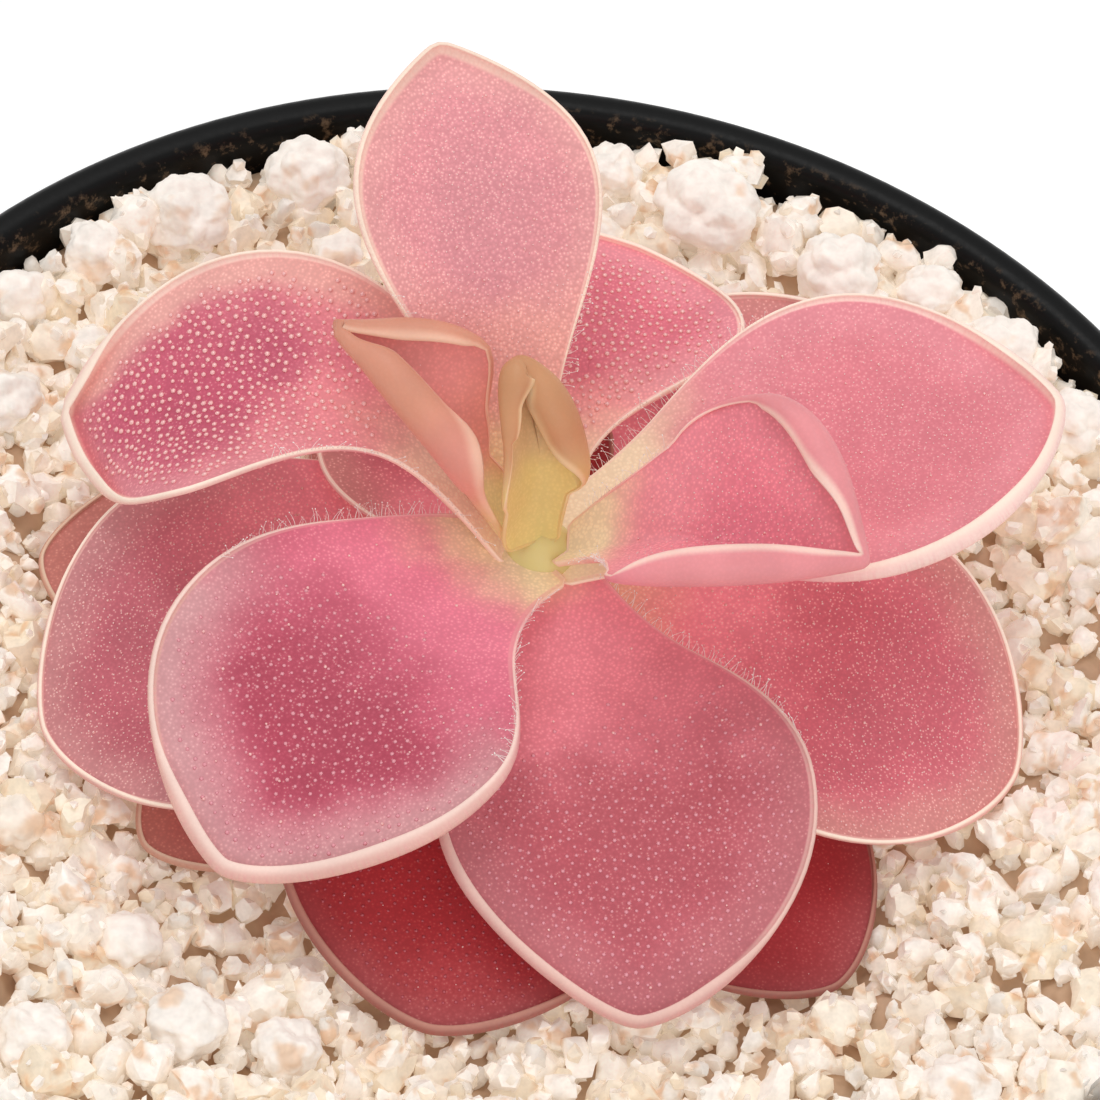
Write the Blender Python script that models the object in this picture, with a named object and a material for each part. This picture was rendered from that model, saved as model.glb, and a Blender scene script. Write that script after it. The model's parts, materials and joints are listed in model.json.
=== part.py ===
"""Butterwort in a pot: a rosette of fleshy pink leaves in gritty mix, in a round nursery pot.

The origin is the middle of the circle that the pot stands on, +Z is up and -Y is the front.
Sizes are written in millimetres and multiplied by MM.
"""

import math
import random
from dataclasses import dataclass

import bmesh
import bpy
import numpy as np
from mathutils import Vector, geometry
from mathutils.bvhtree import BVHTree

MM = 0.001
GAP = 0.3

# Pot: an injection-moulded round nursery pot with a thick rim band and a raised floor.
POT_HEIGHT = 70.0
RIM_RADIUS = 40.0
RIM_BAND_HEIGHT = 7.2
RIM_THICKNESS = 2.1
WALL_TOP_RADIUS = 37.6
WALL_FOOT_RADIUS = 29.3
WALL_THICKNESS = 1.2
FLOOR_UNDERSIDE = 2.4
FLOOR_THICKNESS = 1.4
POT_SEGMENTS = 64
DRAIN_HOLE_RADIUS = 2.2
DRAIN_RING_RADIUS = 19.0
DRAIN_HOLES = 6
FOOT_SLOTS = 4
FOOT_SLOT_WIDTH = 6.0
FOOT_SLOT_HEIGHT = 1.5

# Mix: grit raised as relief on a mound that is low under the rosette and high at the wall.
MIX_MIDDLE_LEVEL = 64.8
MIX_WALL_LEVEL = 67.6
MIX_RISE_FROM_RADIUS = 18.0
MIX_RISE_TO_RADIUS = 33.0
MIX_OUTER_SEGMENTS = 72
GRAIN_PITCH = 1.95
GRAIN_HEIGHT = (0.3, 1.0)
LEAF_CLEARANCE = 0.9
LUMP_SIDE_CLEARANCE = 0.8
LUMP_CLEARANCE = 0.45

# Crown: the short stem with its root stub, off the middle of the pot as it grew.
CROWN_X = 0.4
CROWN_Y = 4.5
CROWN_RADIUS = 2.1
CROWN_TOP = 75.4
CROWN_FOOT = 50.0
CROWN_SEGMENTS = 20

# Leaf meshes: points round the outline and rings across each face.
LEAF_POINTS = 20
BLADE_RINGS = 3
CURL_RINGS = 2
UNDER_RINGS = 2
MIDRIB_STEPS = 48


@dataclass(frozen=True)
class Leaf:
    """One leaf. Lengths in millimetres, angles in degrees.

    azimuth is the way it points seen from above and rise the height of its base. pitch is its
    slope at base and tip, bend its sideways turn from base to tip, roll its twist about the
    midrib at base and tip. widest is where along the blade it is broadest. lip and curl are the
    length and the turn of the margin that rolls up, and folded leaves have a spindle-shaped lip.
    """

    name: str
    azimuth: float
    rise: float
    length: float
    width: float
    pitch: tuple
    bend: float = 0.0
    roll: tuple = (0.0, 0.0)
    widest: float = 0.60
    tip: float = 0.62
    wedge: float = 0.0
    base: float = 3.4
    dish: float = 1.0
    fold: float = 0.0
    lip: float = 1.3
    curl: float = 90.0
    folded: bool = False
    thick: float = 1.1
    stand: float = 2.9


LEAVES = (
    Leaf("leaf_heart", 115, 76.8, 8.0, 2.6, (75, 45), widest=0.42, base=2.2, lip=1.9,
         curl=150, folded=True, stand=0.0),
    Leaf("leaf_bud_left", 157, 76.6, 13.4, 3.8, (60, 26), roll=(14, 14), widest=0.42, tip=0.8,
         base=2.6, lip=2.5, curl=150, folded=True, stand=2.4),
    Leaf("leaf_young_right", 342, 76.1, 15.4, 10.0, (40, 16), roll=(4, 4), widest=0.52,
         tip=0.85, fold=24, lip=1.7, curl=125, folded=True),
    Leaf("leaf_back_upright", 113, 75.8, 21.9, 10.2, (48, 24), widest=0.68, tip=0.88,
         base=2.8),
    Leaf("leaf_front_left", 238.5, 74.8, 21.3, 15.5, (15, -28), bend=20, widest=0.56,
         tip=0.64, base=4.4, lip=1.4),
    Leaf("leaf_left_arched", 170, 74.9, 25.8, 11.8, (47, -60), bend=35, roll=(18, -8),
         widest=0.66, wedge=0.9, base=3.2),
    Leaf("leaf_right_broad", 20.5, 73.7, 24.1, 14.8, (28, 0), tip=0.72, base=4.2),
    Leaf("leaf_back_right", 80, 72.8, 16.6, 13.0, (29, -6), bend=-16, widest=0.75, wedge=1.1,
         tip=0.6, base=2.6, lip=0.9),
    Leaf("leaf_front", 287, 72.1, 22.3, 15.8, (12, -27), bend=-22, roll=(5, 5), widest=0.56,
         tip=0.7, base=3.8, lip=1.4),
    Leaf("leaf_back_short", 96, 70.8, 10.0, 6.5, (12, 0), base=2.6, dish=0.4, lip=0.6,
         thick=0.9),
    Leaf("leaf_back_left_short", 143, 72.3, 11.0, 7.0, (12, -6), base=2.6, dish=0.4, lip=0.6,
         thick=0.9),
    Leaf("leaf_left_low", 204, 70.7, 22.8, 17.5, (17, -30), dish=0.7, lip=1.0),
    Leaf("leaf_right_low", 348, 70.1, 23.1, 16.8, (18, -28), roll=(5, 5), lip=1.0),
    Leaf("leaf_back_left_low", 134, 69.7, 13.0, 9.0, (7, -6), base=2.6, dish=0.4, lip=0.6,
         thick=0.9),
    Leaf("leaf_back_right_low", 52, 68.6, 22.2, 13.0, (17, -3), roll=(4, 4), base=3.0,
         dish=0.6, lip=0.8),
    Leaf("leaf_back_low", 91, 67.3, 15.0, 10.0, (8, -6), base=2.6, dish=0.4, lip=0.6,
         thick=0.9),
    Leaf("leaf_front_low", 265, 68.5, 21.3, 16.8, (6, -14), base=3.0, dish=0.6, lip=1.0),
    Leaf("leaf_left_bottom", 178, 68.2, 22.0, 13.0, (5, -10), base=2.6, dish=0.3, lip=0.6,
         thick=0.9),
    Leaf("leaf_front_left_bottom", 222, 66.7, 20.2, 10.0, (1, -2), base=2.4, dish=0.3,
         lip=0.5, thick=0.9),
    Leaf("leaf_front_right_bottom", 313, 66.7, 22.2, 13.5, (2, -3), base=2.4, dish=0.3,
         lip=0.6, thick=0.9),
)


@dataclass(frozen=True)
class Lump:
    """A lump of pumice that lies in the grit: where it is seen from above, and its radius."""

    x: float
    y: float
    radius: float


LUMPS = (
    Lump(-20.5, 27.5, 2.6), Lump(-14.5, 31.5, 2.5), Lump(-12.5, 27.0, 1.7),
    Lump(-25.0, 24.5, 2.0), Lump(-28.5, 21.0, 1.8), Lump(-24.3, 18.3, 1.5),
    Lump(-28.0, 14.0, 2.1), Lump(-21.0, 21.0, 1.5), Lump(7.0, 32.5, 3.0),
    Lump(1.5, 35.0, 1.9), Lump(12.0, 33.5, 1.4), Lump(1.5, 31.0, 1.5),
    Lump(14.5, 29.5, 2.6), Lump(19.5, 29.0, 2.0), Lump(23.5, 25.8, 2.3),
    Lump(27.5, 21.5, 2.1), Lump(28.5, 14.0, 1.8), Lump(-20.5, -25.0, 2.1),
    Lump(-13.5, -22.5, 2.3), Lump(-8.5, -22.5, 1.9), Lump(-17.0, -17.5, 1.8),
    Lump(-23.5, -11.5, 1.6), Lump(-28.5, -3.0, 1.8), Lump(24.0, -21.0, 2.2),
    Lump(9.0, -31.5, 2.3), Lump(31.5, -8.0, 1.9),
)

LUMP_FLATNESS = 0.82
LUMP_ROUGHNESS = 0.16

COLOURS = {
    "pot_black": ((0.012, 0.012, 0.013), 0.42),
    "grit_cream": ((0.62, 0.53, 0.41), 0.70),
    "pumice_white": ((0.76, 0.70, 0.58), 0.85),
    "crown_yellow_green": ((0.60, 0.58, 0.22), 0.55),
    "leaf_pink": ((0.66, 0.17, 0.23), 0.45),
    "leaf_dark_red": ((0.33, 0.03, 0.05), 0.45),
    "leaf_peach": ((0.78, 0.43, 0.33), 0.50),
}

LEAF_COLOURS = {
    "leaf_heart": "leaf_peach",
    "leaf_bud_left": "leaf_peach",
    "leaf_front_low": "leaf_dark_red",
    "leaf_back_right_low": "leaf_dark_red",
    "leaf_left_bottom": "leaf_dark_red",
    "leaf_front_left_bottom": "leaf_dark_red",
    "leaf_front_right_bottom": "leaf_dark_red",
}


def clear_scene():
    """Remove the objects that the file opened with."""
    for item in list(bpy.data.objects):
        bpy.data.objects.remove(item, do_unlink=True)


def material(name):
    """Return the Principled material of one of the COLOURS, made on first use."""
    found = bpy.data.materials.get(name)
    if found:
        return found
    colour, roughness = COLOURS[name]
    made = bpy.data.materials.new(name)
    made.use_nodes = True
    shader = made.node_tree.nodes["Principled BSDF"]
    shader.inputs["Base Color"].default_value = (*colour, 1.0)
    shader.inputs["Roughness"].default_value = roughness
    shader.inputs["Metallic"].default_value = 0.0
    return made


def empty(name, location=(0.0, 0.0, 0.0)):
    """Add an empty that pieces are parented to."""
    item = bpy.data.objects.new(name, None)
    item.location = [value * MM for value in location]
    bpy.context.scene.collection.objects.link(item)
    return item


def add_object(name, mesh, colour, parent=None, location=(0.0, 0.0, 0.0), turn=(0.0, 0.0, 0.0)):
    """Add a mesh object at a location in millimetres, turned by Euler angles in radians."""
    item = bpy.data.objects.new(name, mesh)
    item.location = [value * MM for value in location]
    item.rotation_euler = turn
    item.parent = parent
    mesh.materials.append(material(colour))
    bpy.context.scene.collection.objects.link(item)
    return item


def mesh_from_bmesh(name, work, smooth_below=None):
    """Turn a bmesh into a mesh with its faces outward, smooth below an angle in degrees."""
    bmesh.ops.recalc_face_normals(work, faces=work.faces)
    mesh = bpy.data.meshes.new(name)
    work.to_mesh(mesh)
    work.free()
    if smooth_below is not None:
        mesh.shade_smooth()
        mesh.set_sharp_from_angle(angle=math.radians(smooth_below))
    return mesh


def smooth_step(low, high, value):
    """Rise evenly from 0 at low to 1 at high, level at both ends."""
    share = np.clip((value - low) / (high - low), 0.0, 1.0)
    return share * share * (3.0 - 2.0 * share)


def turned(name, profile, segments, smooth_below=40):
    """Spin a profile of (radius, height) points about Z. Its two ends lie on the axis."""
    work = bmesh.new()
    points = [work.verts.new((radius * MM, 0.0, height * MM)) for radius, height in profile]
    edges = [work.edges.new(pair) for pair in zip(points, points[1:])]
    bmesh.ops.spin(work, geom=points + edges, cent=(0, 0, 0), axis=(0, 0, 1),
                   angle=math.tau, steps=segments, use_merge=True, use_duplicate=False)
    bmesh.ops.remove_doubles(work, verts=work.verts, dist=0.00001)
    bmesh.ops.dissolve_degenerate(work, edges=work.edges, dist=0.000001)
    bmesh.ops.triangulate(work, faces=work.faces)
    return mesh_from_bmesh(name, work, smooth_below)


def cutter(name, mesh, location, turn=0.0):
    """Add a hidden object that a Boolean modifier cuts with."""
    item = bpy.data.objects.new(name, mesh)
    item.location = [value * MM for value in location]
    item.rotation_euler = (0.0, 0.0, turn)
    item.hide_render = True
    item.display_type = "WIRE"
    return item


def cutter_collection(name, items):
    """Gather cutters in one collection."""
    group = bpy.data.collections.new(name)
    bpy.context.scene.collection.children.link(group)
    for item in items:
        group.objects.link(item)
    return group


def cylinder_mesh(name, radius, height, segments):
    """A closed cylinder about its own middle."""
    work = bmesh.new()
    bmesh.ops.create_cone(work, cap_ends=True, segments=segments, radius1=radius * MM,
                          radius2=radius * MM, depth=height * MM)
    return mesh_from_bmesh(name, work)


def box_mesh(name, length, width, height):
    """A closed box about its own middle."""
    work = bmesh.new()
    bmesh.ops.create_cube(work, size=1.0)
    bmesh.ops.scale(work, vec=(length * MM, width * MM, height * MM), verts=work.verts)
    return mesh_from_bmesh(name, work)


def wall_inner_radius(height):
    """Inner radius of the pot's wall at a height between its floor and its rim band."""
    foot = WALL_FOOT_RADIUS - WALL_THICKNESS
    top = WALL_TOP_RADIUS - WALL_THICKNESS
    share = height / (POT_HEIGHT - RIM_BAND_HEIGHT)
    return foot + (top - foot) * share


def build_pot(parent):
    """The pot: foot ring, tapered wall and rim band in one turn, with drain holes and slots."""
    band_foot = POT_HEIGHT - RIM_BAND_HEIGHT
    floor_top = FLOOR_UNDERSIDE + FLOOR_THICKNESS
    band_inner = RIM_RADIUS - RIM_THICKNESS
    foot_inner = WALL_FOOT_RADIUS - WALL_THICKNESS
    profile = (
        (0.0, FLOOR_UNDERSIDE),
        (foot_inner - 0.6, FLOOR_UNDERSIDE),
        (foot_inner - 0.1, FLOOR_UNDERSIDE - 0.6),
        (foot_inner + 0.1, 0.0),
        (WALL_FOOT_RADIUS - 0.3, 0.0),
        (WALL_FOOT_RADIUS, 0.3),
        (WALL_TOP_RADIUS, band_foot - 0.4),
        (WALL_TOP_RADIUS + 0.5, band_foot),
        (RIM_RADIUS - 0.4, band_foot + 0.2),
        (RIM_RADIUS - 0.2, band_foot + 0.6),
        (RIM_RADIUS, POT_HEIGHT - 1.3),
        (RIM_RADIUS - 0.15, POT_HEIGHT - 0.5),
        (RIM_RADIUS - 0.6, POT_HEIGHT - 0.1),
        (RIM_RADIUS - 1.05, POT_HEIGHT),
        (band_inner + 0.6, POT_HEIGHT - 0.1),
        (band_inner + 0.15, POT_HEIGHT - 0.5),
        (band_inner, POT_HEIGHT - 1.3),
        (band_inner - 0.1, band_foot + 1.0),
        (wall_inner_radius(band_foot - 0.4), band_foot - 0.4),
        (wall_inner_radius(floor_top + 0.6), floor_top + 0.6),
        (wall_inner_radius(floor_top) - 0.6, floor_top),
        (0.0, floor_top),
    )
    pot = add_object("pot", turned("pot", profile, POT_SEGMENTS), "pot_black", parent)
    hole = cylinder_mesh("drain_hole_cut", DRAIN_HOLE_RADIUS, 8.0, 16)
    middle = FLOOR_UNDERSIDE + FLOOR_THICKNESS / 2
    cuts = []
    for step in range(DRAIN_HOLES):
        angle = math.tau * (step + 0.5) / DRAIN_HOLES
        place = (DRAIN_RING_RADIUS * math.cos(angle), DRAIN_RING_RADIUS * math.sin(angle), middle)
        cuts.append(cutter(f"drain_hole_cut_{step}", hole, place))
    slot = box_mesh("foot_slot_cut", 6.0, FOOT_SLOT_WIDTH, 2 * FOOT_SLOT_HEIGHT)
    ring = WALL_FOOT_RADIUS - WALL_THICKNESS / 2
    for step in range(FOOT_SLOTS):
        angle = math.tau * (step + 0.5) / FOOT_SLOTS
        place = (ring * math.cos(angle), ring * math.sin(angle), 0.0)
        cuts.append(cutter(f"foot_slot_cut_{step}", slot, place, angle))
    cut = pot.modifiers.new("drain", "BOOLEAN")
    cut.operation = "DIFFERENCE"
    cut.operand_type = "COLLECTION"
    cut.collection = cutter_collection("pot_cutters", cuts)
    cut.solver = "EXACT"
    return pot


def leaf_outline(leaf, count):
    """Outline points of the flat blade, the outward way at each, and their share of its length.

    They run from the base along the left side to the tip and back along the right side.
    """
    angle = math.tau * np.arange(count) / count
    share = (1.0 - np.cos(angle)) / 2.0
    power = math.log(0.5) / math.log(leaf.widest)
    bulge = np.where(share < leaf.widest, leaf.wedge or leaf.tip, leaf.tip)
    half = leaf.base / 2 * (1 - share) ** 1.5
    half = half + leaf.width / 2 * np.clip(np.sin(math.pi * share ** power), 0, 1) ** bulge
    side = np.where(np.abs(np.sin(angle)) < 1e-9, 0.0, np.sign(np.sin(angle)))
    points = np.stack([share * leaf.length, side * half], -1)
    along = np.roll(points, -1, 0) - np.roll(points, 1, 0)
    outward = np.stack([-along[:, 1], along[:, 0]], -1)
    outward /= np.linalg.norm(outward, axis=1)[:, None]
    return points, outward, share


def leaf_axes(leaf):
    """Midrib points and the axes along it, across it and out of it, from the leaf's own base."""
    share = np.linspace(0.0, 1.0, MIDRIB_STEPS + 1)
    pitch = np.radians(leaf.pitch[0] + (leaf.pitch[1] - leaf.pitch[0]) * share)
    turn = np.radians(leaf.bend * share)
    twist = np.radians(leaf.roll[0] + (leaf.roll[1] - leaf.roll[0]) * share)
    along = np.stack([np.cos(pitch) * np.cos(turn), np.cos(pitch) * np.sin(turn),
                      np.sin(pitch)], -1)
    steps = (along[1:] + along[:-1]) / 2 * leaf.length / MIDRIB_STEPS
    midrib = np.concatenate([np.zeros((1, 3)), np.cumsum(steps, axis=0)])
    level = np.stack([-np.sin(turn), np.cos(turn), np.zeros_like(turn)], -1)
    normal = np.cross(along, level)
    cosine, sine = np.cos(twist)[:, None], np.sin(twist)[:, None]
    across = level * cosine + normal * sine
    out = normal * cosine - level * sine
    return share * leaf.length, midrib, along, across, out


def leaf_point(leaf, x, y, height):
    """Place points of the flat blade, at a height over it, on the arched leaf."""
    stations, *fields = leaf_axes(leaf)
    midrib, along, across, out = (
        np.stack([np.interp(x, stations, field[:, axis]) for axis in range(3)], -1)
        for field in fields
    )
    past = (x - np.clip(x, 0.0, leaf.length))[:, None]
    return midrib + along * past + across * y[:, None] + out * height[:, None]


def lip_length(leaf, share):
    """Length of the margin that rolls up, by the share of the blade's length."""
    if leaf.folded:
        corner = leaf.widest - 0.22
        part = np.clip((share - corner) / (1.02 - corner), 0, 1)
        return leaf.lip * (0.12 + 0.88 * np.clip(np.sin(math.pi * part), 0, 1) ** 0.8)
    return leaf.lip * (0.25 + 0.75 * smooth_step(0.2, 0.75, share))


def leaf_rings(leaf, count):
    """Rings of points from mid-blade over the upper face, round the margin and back below."""
    outline, outward, share = leaf_outline(leaf, count)
    middle = np.array([leaf.widest * leaf.length * 0.95, 0.0])
    slope = math.tan(math.radians(leaf.fold))
    length = lip_length(leaf, share)
    turn = np.radians(leaf.curl) * (0.35 + 0.65 * smooth_step(0.15, 0.6, share))
    edge_thick = leaf.thick * 0.62

    def cup(points):
        side = points[:, 1]
        return leaf.dish * (side / (leaf.width / 2)) ** 2 + slope * np.abs(side)

    def blade(reach, depth):
        points = middle + reach * (outline - middle)
        return leaf_point(leaf, points[:, 0], points[:, 1], cup(points) - depth)

    def margin(part, depth):
        angle = turn * part
        radius = length / turn
        off = (radius + depth) * np.sin(angle)
        up = radius * (1 - np.cos(angle)) - depth * np.cos(angle)
        points = outline + outward * off[:, None]
        return leaf_point(leaf, points[:, 0], points[:, 1], cup(outline) + up)

    rings = [blade(step / BLADE_RINGS, 0.0) for step in range(1, BLADE_RINGS + 1)]
    rings += [margin(step / CURL_RINGS, 0.0) for step in range(1, CURL_RINGS + 1)]
    rings.append(margin(1.12, edge_thick * 0.35))
    for step in range(CURL_RINGS, 0, -1):
        part = step / CURL_RINGS
        rings.append(margin(part, edge_thick * (1 - 0.35 * part)))
    for step in range(UNDER_RINGS, 0, -1):
        reach = step / UNDER_RINGS
        rings.append(blade(reach, edge_thick + (leaf.thick - edge_thick) * (1 - reach ** 2)))
    return [blade(0.0, 0.0)[:1]] + rings + [blade(0.0, leaf.thick)[:1]]


def leaf_mesh(leaf):
    """Closed mesh of a leaf about its own base, growing along its own +X."""
    rings = leaf_rings(leaf, LEAF_POINTS)
    work = bmesh.new()
    rows = [[work.verts.new(point * MM) for point in ring] for ring in rings]
    for near, far in zip(rows, rows[1:]):
        for step in range(LEAF_POINTS):
            after = (step + 1) % LEAF_POINTS
            if len(near) == 1:
                work.faces.new((near[0], far[after], far[step]))
            elif len(far) == 1:
                work.faces.new((far[0], near[step], near[after]))
            else:
                work.faces.new((near[step], near[after], far[after]))
                work.faces.new((near[step], far[after], far[step]))
    return mesh_from_bmesh(leaf.name, work, 60)


def build_leaf(leaf, parent):
    """Place a leaf beside the crown, turned to its azimuth."""
    start = math.radians(leaf.azimuth - leaf.bend / 2)
    place = (leaf.stand * math.cos(start), leaf.stand * math.sin(start), leaf.rise)
    colour = LEAF_COLOURS.get(leaf.name, "leaf_pink")
    return add_object(leaf.name, leaf_mesh(leaf), colour, parent, place, (0.0, 0.0, start))


def build_crown(parent):
    """The short stem with its domed top and tapering root stub."""
    profile = (
        (0.0, CROWN_FOOT),
        (0.5, CROWN_FOOT + 0.2),
        (1.0, CROWN_FOOT + 3.0),
        (1.6, CROWN_FOOT + 8.0),
        (CROWN_RADIUS, CROWN_FOOT + 13.0),
        (CROWN_RADIUS, CROWN_TOP - 1.4),
        (CROWN_RADIUS * 0.8, CROWN_TOP - 0.5),
        (CROWN_RADIUS * 0.4, CROWN_TOP - 0.1),
        (0.0, CROWN_TOP),
    )
    mesh = turned("crown_and_root", profile, CROWN_SEGMENTS, 50)
    return add_object("crown_and_root", mesh, "crown_yellow_green", parent)


def mix_level(radius):
    """Height of the mound at a distance from the pot's axis, without its grains."""
    rise = smooth_step(MIX_RISE_FROM_RADIUS, MIX_RISE_TO_RADIUS, radius)
    return MIX_MIDDLE_LEVEL + (MIX_WALL_LEVEL - MIX_MIDDLE_LEVEL) * float(rise)


def lump_height(lump):
    """Height of a lump's middle: it lies a little less than half way in the grit."""
    return mix_level(math.hypot(lump.x, lump.y)) + 0.75 * lump.radius


def grain_points(surface_radius, seed=11):
    """Points of the grit's relief: a jittered triangular net in which each third point is high."""
    draw = random.Random(seed)
    row_height = GRAIN_PITCH * math.sqrt(3) / 2
    reach = int(surface_radius / row_height) + 2
    points = []
    for row in range(-reach, reach + 1):
        for column in range(-reach - 1, reach + 2):
            x = (column + (row % 2) / 2) * GRAIN_PITCH + draw.uniform(-0.35, 0.35)
            y = row * row_height + draw.uniform(-0.35, 0.35)
            high = (column - (row - row % 2) // 2 - row) % 3 == 0
            lift = draw.uniform(*GRAIN_HEIGHT) if high else draw.uniform(-0.6, -0.1)
            radius = math.hypot(x, y)
            if radius > surface_radius - 0.9:
                continue
            if math.hypot(x - CROWN_X, y - CROWN_Y) < CROWN_RADIUS + 1.6:
                continue
            points.append(Vector((x, y, mix_level(radius) + lift)))
    return points


def lower_clear(point, leaves):
    """Lower a point of the grit until it is clear of every leaf, and into the dents of lumps."""
    for lump in LUMPS:
        away = math.hypot(point.x - lump.x, point.y - lump.y)
        share = away / (lump.radius + LUMP_SIDE_CLEARANCE)
        if share < 1:
            depth = lump.radius * LUMP_FLATNESS + LUMP_CLEARANCE
            point.z = min(point.z, lump_height(lump) - depth * math.sqrt(1 - share * share))
    for _ in range(40):
        nearest = leaves.find_nearest(point * MM)
        if nearest[3] >= LEAF_CLEARANCE * MM:
            break
        point.z -= 0.15
    return point


def leaves_tree(items):
    """A search tree over the faces of all leaves, in world space."""
    bpy.context.view_layer.update()
    points, faces = [], []
    for item in items:
        first = len(points)
        points += [item.matrix_world @ vertex.co for vertex in item.data.vertices]
        faces += [[first + index for index in face.vertices] for face in item.data.polygons]
    return BVHTree.FromPolygons(points, faces)


def ring_of(radius, height, count, middle=(0.0, 0.0)):
    """Points of a level circle."""
    return [Vector((middle[0] + radius * math.cos(math.tau * step / count),
                    middle[1] + radius * math.sin(math.tau * step / count), height))
            for step in range(count)]


def build_mix(parent, leaf_items):
    """The gritty mix: fills the pot to its wall, has a relief top and a plain hole for the root."""
    band_foot = POT_HEIGHT - RIM_BAND_HEIGHT
    floor_top = FLOOR_UNDERSIDE + FLOOR_THICKNESS
    top_radius = RIM_RADIUS - RIM_THICKNESS - 0.1 - GAP
    hole_radius = CROWN_RADIUS + GAP
    leaves = leaves_tree(leaf_items)
    outer = ring_of(top_radius, mix_level(top_radius) - 0.4, MIX_OUTER_SEGMENTS)
    hole = ring_of(hole_radius, mix_level(0.0) - 0.3, CROWN_SEGMENTS, (CROWN_X, CROWN_Y))
    inner = grain_points(top_radius)
    surface = [lower_clear(point, leaves) for point in outer + hole + inner]
    hole_first = MIX_OUTER_SEGMENTS
    borders = [(step, (step + 1) % hole_first) for step in range(hole_first)]
    borders += [(hole_first + step, hole_first + (step + 1) % CROWN_SEGMENTS)
                for step in range(CROWN_SEGMENTS)]
    flat = [point.to_2d() for point in surface]
    cover = geometry.delaunay_2d_cdt(flat, borders, [], 1, 0.00001)[2]
    work = bmesh.new()
    top = [work.verts.new(point * MM) for point in surface]
    for face in cover:
        if all(hole_first <= index < hole_first + CROWN_SEGMENTS for index in face):
            continue
        work.faces.new([top[index] for index in face])

    def skirt(upper, circles):
        for circle in circles:
            lower = [work.verts.new(point * MM) for point in circle]
            for step, vertex in enumerate(upper):
                after = (step + 1) % len(upper)
                work.faces.new((vertex, upper[after], lower[after], lower[step]))
            upper = lower
        work.faces.new(upper)

    count = MIX_OUTER_SEGMENTS
    skirt(top[:hole_first], (
        ring_of(top_radius, band_foot + 1.2, count),
        ring_of(wall_inner_radius(band_foot - 0.4) - GAP - 0.1, band_foot - 0.6, count),
        ring_of(wall_inner_radius(floor_top + 0.6) - GAP, floor_top + 1.0, count),
        ring_of(wall_inner_radius(floor_top) - 1.0, floor_top + GAP, count),
    ))
    middle = (CROWN_X, CROWN_Y)
    skirt(top[hole_first:hole_first + CROWN_SEGMENTS], (
        ring_of(hole_radius, CROWN_FOOT + 12.0, CROWN_SEGMENTS, middle),
        ring_of(1.8, CROWN_FOOT + 4.0, CROWN_SEGMENTS, middle),
        ring_of(1.2, CROWN_FOOT - GAP, CROWN_SEGMENTS, middle),
    ))
    bmesh.ops.triangulate(work, faces=[face for face in work.faces if len(face.verts) > 3])
    return add_object("gritty_mix", mesh_from_bmesh("gritty_mix", work), "grit_cream", parent)


def lump_mesh(name, radius, seed):
    """An angular lump: a ball pushed in by a few flat breaks and a little roughness."""
    draw = random.Random(seed)
    work = bmesh.new()
    bmesh.ops.create_icosphere(work, subdivisions=2, radius=1.0)
    breaks = []
    for _ in range(5):
        way = Vector([draw.gauss(0, 1) for _ in range(3)]).normalized()
        breaks.append((way, draw.uniform(0.72, 0.92)))
    for vertex in work.verts:
        for way, depth in breaks:
            over = vertex.co.dot(way) - depth
            if over > 0:
                vertex.co -= way * over
        vertex.co *= 1.0 - draw.uniform(0.0, LUMP_ROUGHNESS)
        vertex.co.z *= LUMP_FLATNESS
    largest = max(vertex.co.length for vertex in work.verts)
    bmesh.ops.scale(work, vec=[radius * MM / largest] * 3, verts=work.verts)
    return mesh_from_bmesh(name, work)


def build_lumps(parent):
    """Every lump of pumice in its own dent."""
    for number, lump in enumerate(LUMPS, 1):
        name = f"pumice_{number:02d}"
        place = (lump.x, lump.y, lump_height(lump))
        turn = (0.0, 0.0, math.tau * number * 0.382)
        add_object(name, lump_mesh(name, lump.radius, 100 + number), "pumice_white", parent,
                   place, turn)


def main():
    """Build the potted plant."""
    clear_scene()
    holder = empty("potted_butterwort")
    plant = empty("plant", (CROWN_X, CROWN_Y, 0.0))
    plant.parent = holder
    build_pot(holder)
    build_crown(plant)
    leaf_items = [build_leaf(leaf, plant) for leaf in LEAVES]
    build_mix(holder, leaf_items)
    build_lumps(holder)


main()
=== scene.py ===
"""Looks of a potted butterwort: a fleshy pink rosette in quartz grit and pumice, in a nursery pot.

Fields and formulas are in millimetres, and every finished mesh is in metres in the frame's axes.
"""

import json
import logging
import math
import random
from dataclasses import dataclass
from enum import Enum
from functools import partial

import bmesh
import bpy
import numpy as np
from mathutils import Matrix, Vector, noise

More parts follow.
